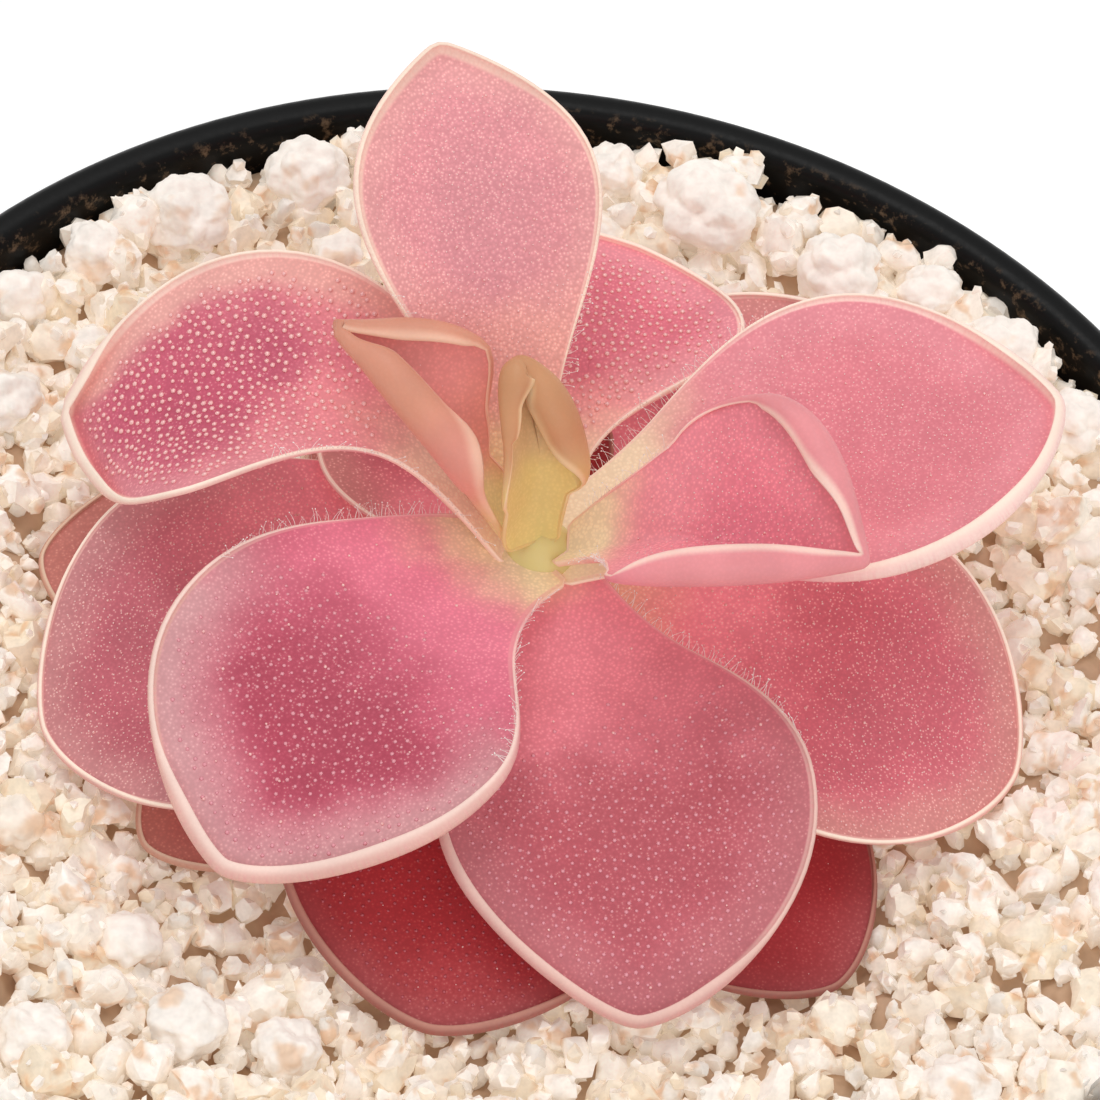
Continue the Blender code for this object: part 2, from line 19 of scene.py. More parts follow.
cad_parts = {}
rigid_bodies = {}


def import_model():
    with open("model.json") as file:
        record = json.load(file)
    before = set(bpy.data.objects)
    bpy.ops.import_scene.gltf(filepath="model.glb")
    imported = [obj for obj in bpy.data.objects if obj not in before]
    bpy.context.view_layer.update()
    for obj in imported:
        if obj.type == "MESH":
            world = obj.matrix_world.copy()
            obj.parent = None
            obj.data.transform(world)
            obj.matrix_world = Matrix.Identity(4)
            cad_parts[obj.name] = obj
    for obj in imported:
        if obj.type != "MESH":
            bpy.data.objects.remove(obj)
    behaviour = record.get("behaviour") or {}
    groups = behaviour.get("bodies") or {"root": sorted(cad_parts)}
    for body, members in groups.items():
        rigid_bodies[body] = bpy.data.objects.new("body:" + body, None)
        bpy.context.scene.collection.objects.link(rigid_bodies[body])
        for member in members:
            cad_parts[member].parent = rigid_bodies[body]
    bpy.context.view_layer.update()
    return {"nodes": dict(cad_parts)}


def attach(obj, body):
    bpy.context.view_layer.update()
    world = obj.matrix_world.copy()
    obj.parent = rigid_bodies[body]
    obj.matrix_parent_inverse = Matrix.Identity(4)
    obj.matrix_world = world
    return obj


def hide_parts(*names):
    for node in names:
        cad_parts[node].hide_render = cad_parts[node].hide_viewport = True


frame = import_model()

LOG = logging.getLogger("butterwort")
MM = 0.001
BODY = "root"
FACTS = ("along", "edge", "lip", "under", "rimway", "side")
Socket = bpy.types.NodeSocket
Numbers = np.ndarray


def linear(code: str) -> tuple[float, float, float, float]:
    """Turn an sRGB hex colour into linear RGBA.

    Args:
        code: Six hex digits.

    Returns:
        Red, green, blue and alpha from 0 to 1.
    """
    parts = [int(code[start:start + 2], 16) / 255 for start in (0, 2, 4)]
    red, green, blue = (
        part / 12.92 if part <= 0.04045 else ((part + 0.055) / 1.055) ** 2.4 for part in parts
    )
    return red, green, blue, 1.0


def feed(tree: bpy.types.NodeTree, node: bpy.types.Node, links: dict) -> None:
    """Set or link a node's inputs.

    Args:
        tree: The node's tree.
        node: The node.
        links: By an input's name or number, the value or the socket or node that feeds it.
    """
    for key, value in links.items():
        socket = node.inputs[key] if isinstance(key, int) else next(
            s for s in node.inputs if s.enabled and s.name == key)
        if isinstance(value, bpy.types.Node):
            value = next(s for s in value.outputs if s.enabled)
        if isinstance(value, Socket):
            tree.links.new(value, socket)
        else:
            socket.default_value = value


def add_node(tree: bpy.types.NodeTree, kind: str, links: dict | None = None,
             **settings: object) -> bpy.types.Node:
    """Add a node with its settings and links.

    Args:
        tree: The shader or geometry tree that gets the node.
        kind: The node's type.
        links: By an input's name or number, the value or the socket or node that feeds it.
        settings: The node's own properties.

    Returns:
        The new node.
    """
    node = tree.nodes.new(kind)
    for name, value in settings.items():
        setattr(node, name, value)
    feed(tree, node, links or {})
    return node


def start_material(name: str) -> tuple[bpy.types.Material, partial, partial]:
    """Start a material with the usual shader.

    Args:
        name: The material's name.

    Returns:
        The material, what adds a node to it, and what feeds its shader.
    """
    made = bpy.data.materials.new(name)
    made.use_nodes = True
    tree = made.node_tree
    return made, partial(add_node, tree), partial(feed, tree, tree.nodes["Principled BSDF"])


def smooth_step(low: float, high: float, value: Numbers) -> Numbers:
    """Rise evenly from 0 at low to 1 at high, level at both ends."""
    share = np.clip((value - low) / (high - low), 0.0, 1.0)
    return share * share * (3.0 - 2.0 * share)


def add_object(name: str, data: bpy.types.ID) -> bpy.types.Object:
    """Put a mesh, a lamp or a camera in the scene as an object at the origin.

    Args:
        name: The object's name.
        data: What it shows.

    Returns:
        The object.
    """
    item = bpy.data.objects.new(name, data)
    bpy.context.scene.collection.objects.link(item)
    return item


def mark(mesh: bpy.types.Mesh, name: str, values: Numbers | list[float]) -> None:
    """Store a value for each vertex of a mesh.

    Args:
        mesh: The mesh.
        name: The new attribute's name.
        values: The values.
    """
    made = mesh.attributes.new(name, "FLOAT", "POINT")
    made.data.foreach_set("value", np.asarray(values, np.float32))


def settle(item: bpy.types.Object, slot: str, *nodes: str) -> bpy.types.Object:
    """Let a finished piece ride on the part, and report it.

    Args:
        item: The piece, a plain mesh at the origin.
        slot: The record's material slot of the piece; not used.
        nodes: The CAD nodes that it stands for.

    Returns:
        The piece.
    """
    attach(item, BODY)
    if nodes:
        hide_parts(*nodes)
    faces = sum(len(face.vertices) - 2 for face in item.data.polygons)
    LOG.info("%s: %d triangles", item.name, faces)
    return item


def smooth_mesh(name: str, work: bmesh.types.BMesh, angle: float | None = None) -> bpy.types.Mesh:
    """Turn a bmesh into a smooth-shaded mesh with its faces outward.

    Args:
        name: The mesh's name.
        work: The bmesh, which is freed.
        angle: Edges sharper than this, in degrees, stay sharp.

    Returns:
        The mesh.
    """
    bmesh.ops.recalc_face_normals(work, faces=work.faces)
    mesh = bpy.data.meshes.new(name)
    work.to_mesh(mesh)
    work.free()
    mesh.shade_smooth()
    if angle is not None:
        mesh.set_sharp_from_angle(angle=math.radians(angle))
    return mesh


def turned(name: str, profile: list[tuple[float, float]], segments: int,
           middle: tuple[float, float] = (0.0, 0.0), angle: float = 40.0) -> bpy.types.Mesh:
    """Spin a profile about an upright axis into a closed mesh.

    Args:
        name: The mesh's name.
        profile: Points of (radius, height), whose two ends lie on the axis.
        segments: The number of steps round.
        middle: Where the axis stands.
        angle: Edges sharper than this, in degrees, stay sharp.

    Returns:
        The mesh in metres.
    """
    work = bmesh.new()
    points = [work.verts.new((radius * MM, 0.0, height * MM)) for radius, height in profile]
    edges = [work.edges.new(pair) for pair in zip(points, points[1:])]
    bmesh.ops.spin(work, geom=points + edges, cent=(0, 0, 0), axis=(0, 0, 1),
                   angle=math.tau, steps=segments, use_merge=True, use_duplicate=False)
    bmesh.ops.remove_doubles(work, verts=work.verts, dist=0.00001)
    bmesh.ops.dissolve_degenerate(work, edges=work.edges, dist=0.000001)
    bmesh.ops.translate(work, vec=(middle[0] * MM, middle[1] * MM, 0.0), verts=work.verts)
    return smooth_mesh(name, work, angle)


def joined(name: str, meshes: list[bpy.types.Mesh]) -> bpy.types.Mesh:
    """Join copies of meshes.

    Args:
        name: The new mesh's name.
        meshes: The meshes, which are left alone.

    Returns:
        The new mesh.
    """
    work = bmesh.new()
    for mesh in meshes:
        work.from_mesh(mesh)
    whole = bpy.data.meshes.new(name)
    work.to_mesh(whole)
    work.free()
    return whole


def drop_collection(group: bpy.types.Collection) -> None:
    """Remove a collection and its objects.

    Args:
        group: The collection.
    """
    for item in list(group.objects):
        bpy.data.objects.remove(item)
    bpy.data.collections.remove(group)


def draw_breaks(draw: random.Random, count: int,
                depths: tuple[float, float]) -> list[tuple[Vector, float]]:
    """Draw flat breaks of a stone.

    Args:
        draw: What draws.
        count: How many.
        depths: The least and the largest depth from the middle.

    Returns:
        Each break's way and depth.
    """
    return [(Vector([draw.gauss(0, 1) for _ in range(3)]).normalized(), draw.uniform(*depths))
            for _ in range(count)]


def broken(spot: Vector, breaks: list[tuple[Vector, float]], flatness: float) -> Vector:
    """Push a point in where it lies past flat breaks.

    Args:
        spot: The point.
        breaks: Each break's way and its depth from the middle.
        flatness: 1 for breaks as flat as a cut.

    Returns:
        The point, the same one.
    """
    for way, depth in breaks:
        over = spot.dot(way) - depth
        if over > 0:
            spot -= way * over * flatness
    return spot


class Growth:
    """A Geometry Nodes tree with named inputs that ends in Realize Instances and Set Material."""

    def __init__(self, name: str, inputs: dict[str, object]) -> None:
        """Start the tree.

        Args:
            name: The tree's name.
            inputs: By label, each input's value. Its type gives the socket's.
        """
        kinds = {float: "Float", int: "Int", bpy.types.Object: "Object",
                 bpy.types.Collection: "Collection", bpy.types.Material: "Material"}
        self.name = name
        self.group = bpy.data.node_groups.new(name, "GeometryNodeTree")
        self.values: dict[str, object] = {}
        face = self.group.interface
        face.new_socket(name="Geometry", in_out="INPUT", socket_type="NodeSocketGeometry")
        for label, value in inputs.items():
            kind = next(word for known, word in kinds.items() if isinstance(value, known))
            made = face.new_socket(name=label, in_out="INPUT", socket_type="NodeSocket" + kind)
            self.values[made.identifier] = value
        face.new_socket(name="Geometry", in_out="OUTPUT", socket_type="NodeSocketGeometry")
        self.add = partial(add_node, self.group)
        self.inputs = self.add("NodeGroupInput").outputs

    def scatter(self, cover: str, pitch: float) -> tuple[bpy.types.Node, bpy.types.Node]:
        """Strew points over the guide, Spacing apart, and draw a size for each.

        Args:
            cover: The guide's attribute that says how densely they lie.
            pitch: The spacing in metres.

        Returns:
            The points, and sizes from Smallest to Largest.
        """
        share = self.add("GeometryNodeInputNamedAttribute", {"Name": cover}, data_type="FLOAT")
        spots = self.add("GeometryNodeDistributePointsOnFaces",
                         {"Mesh": self.inputs["Geometry"],
                          "Distance Min": self.inputs["Spacing"],
                          "Density Max": 2.0 / pitch ** 2, "Density Factor": share,
                          "Seed": self.inputs["Seed"]}, distribute_method="POISSON")
        sizes = {"Min": self.inputs["Smallest"], "Max": self.inputs["Largest"],
                 "Seed": self.inputs["Seed"]}
        return spots, self.add("FunctionNodeRandomValue", sizes, data_type="FLOAT")

    def close(self, instances: bpy.types.Node) -> None:
        """End the tree: make the instances real and give them their material.

        Args:
            instances: The node that they come from.
        """
        last = self.add("GeometryNodeRealizeInstances", {"Geometry": instances})
        last = self.add("GeometryNodeSetShadeSmooth", {"Geometry": last, "Shade Smooth": True})
        last = self.add("GeometryNodeSetMaterial",
                        {"Geometry": last, "Material": self.inputs["Material"]})
        self.add("NodeGroupOutput", {"Geometry": last})

    def grow(self, guide: bpy.types.Mesh) -> bpy.types.Object:
        """Run the tree on a guide mesh.

        Args:
            guide: The mesh that the repeats follow.

        Returns:
            A plain mesh object with the tree's name.
        """
        host = add_object(self.name + "_guide", guide)
        modifier = host.modifiers.new(self.name, "NODES")
        modifier.node_group = self.group
        for identifier, value in self.values.items():
            modifier[identifier] = value
        graph = bpy.context.evaluated_depsgraph_get()
        mesh = bpy.data.meshes.new_from_object(host.evaluated_get(graph))
        mesh.name = self.name
        host.modifiers.remove(modifier)
        bpy.data.objects.remove(host)
        return add_object(self.name, mesh)


@dataclass(frozen=True)
class Flesh:
    """Living leaf tissue: clear watery cells over red pigment, wet and slightly waxy.

    It gives a soft glow from light that scatters inside, a fine grain from the cells, and a pale
    frost where the blade is thin. Colours are sRGB hex: base, blush and body follow each other
    from the crown to the tip, heart lies in the blade's middle and haze along its rim, roll and
    rim colour the rolled margin, under the back and strip a band along one side. A share says
    how strong a colour is. base_share, blush_reach and rim_start are parts of the blade's or the
    margin's length, the other reaches are in millimetres. relief is the cells' height and glow
    the scattered light. glint is a painted highlight: how strongly pale sparkle spots are painted
    in the cells' middles. through is a painted glow: emission in the leaf's own colour that
    stands in for light the leaf lets pass, stronger on leaves that others shade.
    """

    name: str
    base: str
    blush: str
    body: str
    heart: str
    haze: str
    rim: str
    roll: str
    under: str
    base_share: float = 0.2
    heart_reach: float = 5.0
    haze_reach: float = 3.0
    haze_share: float = 0.7
    grain: float = 0.1
    relief: float = 0.0
    strip: str = ""
    strip_reach: float = 0.0
    streaks: float = 0.18
    glow: float = 0.0
    blush_reach: float = 0.45
    rim_start: float = 0.72
    # painted highlight: strength of pale sparkle spots painted in the cells' middles
    painted_glint: float = 0.25
    # painted glow: emission strength in the flesh's own colour
    painted_glow: float = 0.13

    CELL = 0.19
    CELL_HEIGHT = 0.06
    DRIFT = 3.2
    DRIFT_ALONG = 0.22
    DRIFT_EDGE = 2.0
    STREAKS_PER_MM = 5.0
    DEPTH = 0.6

    def ramps(self) -> dict[str, tuple[str, float, float, float, float]]:
        """List the smooth ramps that the colours are mixed by.

        Returns:
            By name, what a ramp reads, the two values that it runs between and its two ends.
        """
        base, heart, strip = self.base_share, self.heart_reach, self.strip_reach
        return {
            "far": ("along", 0.3, 0.6, 0.0, 1.0),
            "blush": ("along", base + 0.1, base + self.blush_reach, 0.9, 0.0),
            "heart": ("edge", 0.2 * heart, heart, 0.0, 1.0),
            "haze": ("edge", 0.0, self.haze_reach, self.haze_share, 0.0),
            "strip": ("edge", strip, 0.3 * strip - 0.01, 0.0, 1.0),
            "one side": ("side", 0.4, -0.8, 0.0, 1.0),
            "base": ("along", base - 0.12, base + 0.12, 1.0, 0.0),
            "under": ("under", 0.5, 1.0, 0.0, 1.0),
            "lip": ("lip", 0.02, 0.3, 0.0, 1.0),
            "outer lip": ("straight", 0.3, 0.6, 0.3, 1.0),
            "streaks": ("stripes", 0.4, 0.7, 0.0, self.streaks),
            "lip's foot": ("lip", 0.9, 0.6, 0.0, 1.0),
            "rim": ("lip", self.rim_start, 1.0, 0.0, 0.85),
            "off crown": ("straight", 0.0, 0.3, 0.15, 1.0),
            # painted highlight: pale sparkle spots where the distance to a cell's middle is small
            "painted_glint": ("cells", 0.3, 0.08, 0.0, self.painted_glint),
            "blade": ("lip", 0.1, 0.0, 0.0, 1.0),
            "grain": ("cells", 0.0, 0.75, self.grain, -self.grain),
            "less on lip": ("lip", 0.0, 0.2, 1.0, 0.2),
            "cloud": ("drift", 0.25, 0.75, 1.05, 0.95),
            "rough": ("cells", 0.0, 0.7, 0.34, 0.55),
        }

    def layers(self) -> tuple[tuple[str, ...], ...]:
        """List the colours from the body up.

        Returns:
            For each, its code or nothing, and the ramps that give its share.
        """
        return (
            (self.blush, "blush"), (self.heart, "heart", "far"), (self.haze, "haze", "far"),
            (self.strip, "strip", "one side"), (self.base, "base"), (self.under, "under"),
            (self.roll, "lip", "outer lip"), (self.blush, "streaks", "lip", "lip's foot"),
            # painted highlight: the rim colour is painted as sparkle spots on the blade
            (self.rim, "rim", "off crown"), (self.rim, "painted_glint", "blade"),
        )

    def material(self) -> bpy.types.Material:
        """Make the material from the leaf's own attributes and its place.

        Returns:
            The material.
        """
        made, add, shade = start_material(self.name)
        place = add("ShaderNodeTexCoord").outputs["Object"]
        fact = {name: add("ShaderNodeAttribute", attribute_name=name).outputs["Fac"]
                for name in FACTS}
        fact["straight"] = fact["along"]
        fact["drift"] = add("ShaderNodeTexNoise", {
            "Vector": place, "Scale": 1 / (self.DRIFT * MM), "Detail": 2.0}).outputs["Fac"]
        fact["cells"] = add("ShaderNodeTexVoronoi", {
            "Vector": place, "Scale": 1 / (self.CELL * MM)}).outputs["Distance"]
        rimway = add("ShaderNodeMath", {0: fact["rimway"], 1: self.STREAKS_PER_MM},
                     operation="MULTIPLY")
        fact["stripes"] = add("ShaderNodeTexNoise", {"W": rimway, "Scale": 1.0, "Detail": 2.0},
                              noise_dimensions="1D").outputs["Fac"]
        wander = add("ShaderNodeMath", {0: fact["drift"], 1: 0.5}, operation="SUBTRACT")
        for name, reach in (("along", self.DRIFT_ALONG), ("edge", self.DRIFT_EDGE)):
            drift = add("ShaderNodeMath", {0: wander, 1: reach}, operation="MULTIPLY")
            fact[name] = add("ShaderNodeMath", {0: fact[name], 1: drift}, operation="ADD")
        share = {name: add("ShaderNodeMapRange", {"Value": fact[source], "From Min": low,
                                                  "From Max": high, "To Min": start,
                                                  "To Max": end},
                           interpolation_type="SMOOTHSTEP")
                 for name, (source, low, high, start, end) in self.ramps().items()}
        colour = linear(self.body)
        for tint, first, *others in self.layers():
            if not tint:
                continue
            factor = share[first]
            for other in others:
                factor = add("ShaderNodeMath", {0: factor, 1: share[other]},
                             operation="MULTIPLY")
            colour = add("ShaderNodeMix", {"Factor": factor, "A": colour, "B": linear(tint)},
                         data_type="RGBA")
        grain = add("ShaderNodeMath", {0: share["grain"], 1: share["less on lip"]},
                    operation="MULTIPLY")
        grain = add("ShaderNodeMath", {0: grain, 1: 1.0}, operation="ADD")
        light = add("ShaderNodeMath", {0: grain, 1: share["cloud"]}, operation="MULTIPLY")
        colour = add("ShaderNodeVectorMath", {0: colour, "Scale": light}, operation="SCALE")
        if self.relief:
            shade({"Normal": add("ShaderNodeBump", {
                "Height": fact["cells"], "Strength": self.relief,
                "Distance": self.CELL_HEIGHT * MM})})
        # painted glow: the flesh colour is also emitted, standing in for light the leaf lets pass
        shade({"Base Color": colour, "Roughness": share["rough"], "IOR": 1.4,
               "Subsurface Weight": self.glow, "Subsurface Radius": (1.0, 0.5, 0.35),
               "Subsurface Scale": self.DEPTH * MM,
               "Emission Color": colour, "Emission Strength": self.painted_glow})
        return made


class Flush(Enum):
    """How a leaf is coloured, by its age and the light that it had."""

    SALMON = Flesh("flesh_salmon", "F3D3A4", "EBA79A", "E4949A", "E09299", "E8A8A4", "F8E0CC",
                   "F0C6B8", "DDA090", base_share=0.14, haze_share=0.6, haze_reach=2.0,
                   grain=0.14, relief=0.6, painted_glint=0.35)
    MAGENTA = Flesh("flesh_magenta", "F3CCB4", "E68C92", "CA5E74", "C0526A", "DC8C92", "F8E4D2",
                    "EFC9BC", "C98278", base_share=0.27, haze_share=0.7, haze_reach=2.3,
                    strip="E4A49C", strip_reach=2.0, blush_reach=0.55)
    BRIGHT = Flesh("flesh_bright", "F0D6B2", "EC9A98", "DF7786", "DB7080", "E79EA5", "F8E2CF",
                   "F3C8BE", "CE8A82", base_share=0.3, haze_share=0.5, heart_reach=4.0)
    ROSE = Flesh("flesh_rose", "E8CCA4", "E67F94", "CC5F75", "AE3E54", "CF999B", "F1D4C8",
                 "DFAFA4", "DFA9A0", base_share=0.04, haze_share=0.95, haze_reach=4.0,
                 blush_reach=0.4)
    RUBY = Flesh("flesh_ruby", "E9C9A6", "EB8894", "BF5E69", "B8545F", "BC7075", "E6C0B4",
                 "D4A09A", "D09A92", base_share=-0.09, haze_share=0.75, haze_reach=3.4,
                 blush_reach=0.8)
    # painted light: DUSTY and SHADED colour leaves in the shade of others; SHADED is lighter,
    # DUSTY's heart is lighter than its body, and both have stronger emission, to lift that shade
    DUSTY = Flesh("flesh_dusty", "E8B498", "E88893", "B45A66", "C4626F", "BF8282", "F6E4D2",
                  "D3A49C", "C98A7C", base_share=0.14, haze_share=0.85, haze_reach=3.2,
                  heart_reach=14.0, blush_reach=0.75, painted_glint=0.4, painted_glow=0.24)
    SHADED = Flesh("flesh_shaded", "E8B498", "EE8E9A", "CC6974", "C4606C", "C8857F", "F6E4D2",
                   "D6A49A", "C98A7C", base_share=0.14, haze_share=0.85, haze_reach=3.0,
                   blush_reach=0.6, painted_glint=0.4, painted_glow=0.26)
    MOTTLED = Flesh("flesh_mottled", "EFD8B6", "E68E97", "DE7F89", "D87883", "E0929B", "F9E4D2",
                    "F3CEC4", "E6B0A2", base_share=0.24, haze_share=0.5, grain=0.07, relief=0.3)
    HOT = Flesh("flesh_hot", "F0D8B4", "EE959F", "E47C8A", "E17889", "EC9CA2", "F7D2C4",
                "E08E92", "E89A9A", haze_share=0.3, base_share=0.12, streaks=0.0, glow=0.2,
                rim_start=0.86, painted_glow=0.1)
    PEACH = Flesh("flesh_peach", "E6D294", "E7A08E", "E08A84", "DC8480", "E08E8A", "EFC0A8",
                  "CC8C74", "CC8C74", base_share=0.14, haze_share=0.3, grain=0.06,
                  streaks=0.0, glow=0.3, rim_start=0.8, painted_glint=0.1, painted_glow=0.12)
    TAN = Flesh("flesh_tan", "E2CC84", "DEC08C", "D6A878", "CC9A70", "D6AA84", "EBCDA2",
                "C48E66", "C48E66", base_share=0.42, haze_share=0.2, grain=0.04,
                streaks=0.0, glow=0.3, rim_start=0.85, painted_glint=0.1, painted_glow=0.1)
    DARK = Flesh("flesh_dark", "B47462", "C04A50", "AE363B", "B8383E", "A44A4C", "BC8474",
                 "A0645A", "9E5A4C", base_share=0.1, haze_share=0.6, haze_reach=2.2, painted_glow=0.1)
    FADED = Flesh("flesh_faded", "C99A7C", "C6726C", "BF6862", "B45E56", "C68072", "E3C6AC",
                  "CC9A86", "B08068", haze_share=0.6)


@dataclass(frozen=True)
class DropFinish:
    """Mucilage: a sticky drop on each gland, a bright point over a paler spot of the leaf."""

    name: str
    colour: str
    roughness: float = 0.12
    ior: float = 1.45

    def material(self) -> bpy.types.Material:
        """Make the material, the same all over.

        Returns:
            The material.
        """
        made, _, shade = start_material(self.name)
        shade({"Base Color": linear(self.colour), "Roughness": self.roughness,
               "IOR": self.ior})
        return made


class Drop(Enum):
    """The kinds of gland drops, and the hairs."""

    CLEAR = DropFinish("clear_drops", "F8B9B6", 0.05, 2.1)
    PALE = DropFinish("pale_drops", "F9CDCB")
    ROSE = DropFinish("rose_drops", "EC9FAA", 0.2)
    RED = DropFinish("red_drops", "C4606A", 0.2)
    HAIR = DropFinish("gland_hairs", "FFF6F0", 0.2)


@dataclass(frozen=True)
class Dew:
    """One layer of gland drops on a blade.

    pitch is their spacing, small and large their radii and flat their height's share of that.
    They start at a share of the blade's length and leave a bare width along its rim, wider on
    the right side where bare_right says so.
    """

    kind: Drop
    pitch: float
    small: float
    large: float
    start: float = 0.15
    bare_rim: float = 0.4
    bare_right: float = 0.0
    flat: float = 1.0


BEADS = Dew(Drop.CLEAR, 1.6, 0.05, 0.1, 0.05)
SOFT = (Dew(Drop.ROSE, 0.42, 0.09, 0.13, 0.25, flat=0.25), BEADS)
FINE = (Dew(Drop.PALE, 0.3, 0.03, 0.055, flat=0.7), Dew(Drop.CLEAR, 1.5, 0.05, 0.09, 0.05))
WET = (Dew(Drop.CLEAR, 0.37, 0.11, 0.16, 0.14, 0.4, flat=0.6),)
ARCHED = (Dew(Drop.CLEAR, 0.37, 0.12, 0.17, 0.2, 0.35, 0.5, 0.6),)
DUSTED = (Dew(Drop.PALE, 0.37, 0.035, 0.06, 0.15, 0.1), Dew(Drop.CLEAR, 1.0, 0.05, 0.1))
DIM = (Dew(Drop.RED, 0.4, 0.08, 0.11, flat=0.35), Dew(Drop.CLEAR, 1.7, 0.03, 0.06))
BARE = (Dew(Drop.PALE, 1.2, 0.02, 0.035, 0.5),)


@dataclass(frozen=True)
class Side:
    """How one side of a leaf is finer than the CAD leaf.

    width is its share of the half width, widest where it is broadest and tip how round it ends.
    wedge is the roundness between base and broadest. lip is its share of the lip's length, turn
    how far the lip rolls over in degrees and late how much further along it grows. A folded lip
    starts at spindle and grows the slower the larger swell is.
    """

    width: float = 1.0
    widest: float = 0.0
    tip: float = 0.0
    lip: float = 0.5
    turn: float = 110.0
    spindle: float = 0.2
    wedge: float = 0.0
    swell: float = 0.8
    late: float = 0.0


@dataclass(frozen=True)
class Leaf:
    """One leaf of the rosette, with the sizes of the CAD leaf that it stands for.

    azimuth is the way it points seen from above and rise the height of its base. pitch is its
    slope at base and tip, bend its sideways turn from base to tip, roll its twist about the
    midrib at base and tip. widest is where along the blade it is broadest. lip and curl are the
    length and the turn of the margin that rolls up, and folded leaves have a spindle-shaped lip.
    The rest is finer than the CAD leaf: its two sides, end_lip and end_turn, the lip's share and
    turn at the tip, run_in, how far the base runs on over the crown, clasp, how much it rises
    there, fringe, how far hairs stand along the margins, and lip_end, where a folded lip ends.
    """

    name: str
    flush: Flush
    dew: tuple[Dew, ...]
    azimuth: float
    rise: float
    length: float
    width: float
    pitch: tuple[float, float]
    bend: float = 0.0
    roll: tuple[float, float] = (0.0, 0.0)
    widest: float = 0.60
    tip: float = 0.62
    wedge: float = 0.0
    base: float = 3.4
    dish: float = 1.0
    fold: float = 0.0
    lip: float = 1.3
    curl: float = 90.0
    folded: bool = False
    thick: float = 1.1
    stand: float = 2.9
    left: Side = Side()
    right: Side = Side()
    end_lip: float = 0.0
    end_turn: float = 150.0
    run_in: float = 2.2
    clasp: float = 0.0
    fringe: float = 0.5
    lip_end: float = 1.02

    POINTS = 112
    BLADE_RINGS = 14
    NOSE_RINGS = 3
    UNDER_RINGS = 6
    MIDRIB_STEPS = 96
    BASE_ZONE = 0.22
    LIP_FLATNESS = 0.6
    TAPER = 0.7
    FOLD_BEFORE, FOLD_END = 0.22, 1.02
    FOLD_LEAST, FOLD_SWELL, SPINDLE_LEAST = 0.12, 0.88, 0.04
    LIP_LEAST, LIP_GROWS = 0.25, (0.2, 0.75)
    TURN_LEAST, TURN_GROWS = 0.35, (0.15, 0.6)
    TIP_ZONE, FOOT_ZONE = (0.78, 0.95), (0.1, 0.0)
    LIP_RINGS = (6, 12)
    MIDDLE = 0.95
    RIM_THICKNESS = 0.4
    NOSE = 0.1
    UNEVENNESS = 0.24
    SWELLS_PER_MM = (0.22, 0.26)
    CALM_RIM = 2.5
    DEW_FADE = (0.6, 0.25)
    CROWN = (0.4, 4.5)

    def outline(self, count: int) -> tuple[Numbers, Numbers, Numbers]:
        """Trace the flat blade from its base along the left side to the tip and back.

        Args:
            count: The number of points.

        Returns:
            The points, the outward way at each, and their share of the blade's length.
        """
        angle = math.tau * np.arange(count) / count
        share = (1.0 - np.cos(angle)) / 2.0
        side = np.where(np.abs(np.sin(angle)) < 1e-9, 0.0, np.sign(np.sin(angle)))
        widest = self.sided(side, "widest", self.widest)
        power = math.log(0.5) / np.log(widest)
        tip = self.sided(side, "tip", self.tip)
        wedge = self.sided(side, "wedge", self.wedge or self.tip)
        bulge = np.where(share < widest, wedge, tip)
        half = self.base / 2 * (1 - share) ** 1.5
        half = half + self.width / 2 * np.clip(np.sin(math.pi * share ** power), 0, 1) ** bulge
        half = half * self.sided(side, "width")
        start = self.run_in * np.clip(1 - share / self.BASE_ZONE, 0, 1) ** 2
        points = np.stack([share * self.length - start, side * half], -1)
        along = np.roll(points, -1, 0) - np.roll(points, 1, 0)
        outward = np.stack([-along[:, 1], along[:, 0]], -1)
        outward /= np.linalg.norm(outward, axis=1)[:, None]
        return points, outward, share

    def sided(self, side: Numbers, size: str, default: float = 0.0) -> Numbers:
        """Pick one of the two sides' sizes for each point.

        Args:
            side: Above 0 on the left.
            size: The size's name.
            default: What stands for 0.

        Returns:
            The sizes.
        """
        return np.where(side > 0, getattr(self.left, size) or default,
                        getattr(self.right, size) or default)

    def axes(self) -> tuple[Numbers, ...]:
        """Work out the midrib.

        Returns:
            Its stations and points, and the axes along it, across it and out of it.
        """
        share = np.linspace(0.0, 1.0, self.MIDRIB_STEPS + 1)
        pitch = np.radians(self.pitch[0] + (self.pitch[1] - self.pitch[0]) * share)
        turn = np.radians(self.bend * share)
        twist = np.radians(self.roll[0] + (self.roll[1] - self.roll[0]) * share)
        along = np.stack([np.cos(pitch) * np.cos(turn), np.cos(pitch) * np.sin(turn),
                          np.sin(pitch)], -1)
        steps = (along[1:] + along[:-1]) / 2 * self.length / self.MIDRIB_STEPS
        midrib = np.concatenate([np.zeros((1, 3)), np.cumsum(steps, axis=0)])
        level = np.stack([-np.sin(turn), np.cos(turn), np.zeros_like(turn)], -1)
        normal = np.cross(along, level)
        cosine, sine = np.cos(twist)[:, None], np.sin(twist)[:, None]
        across = level * cosine + normal * sine
        out = normal * cosine - level * sine
        return share * self.length, midrib, along, across, out

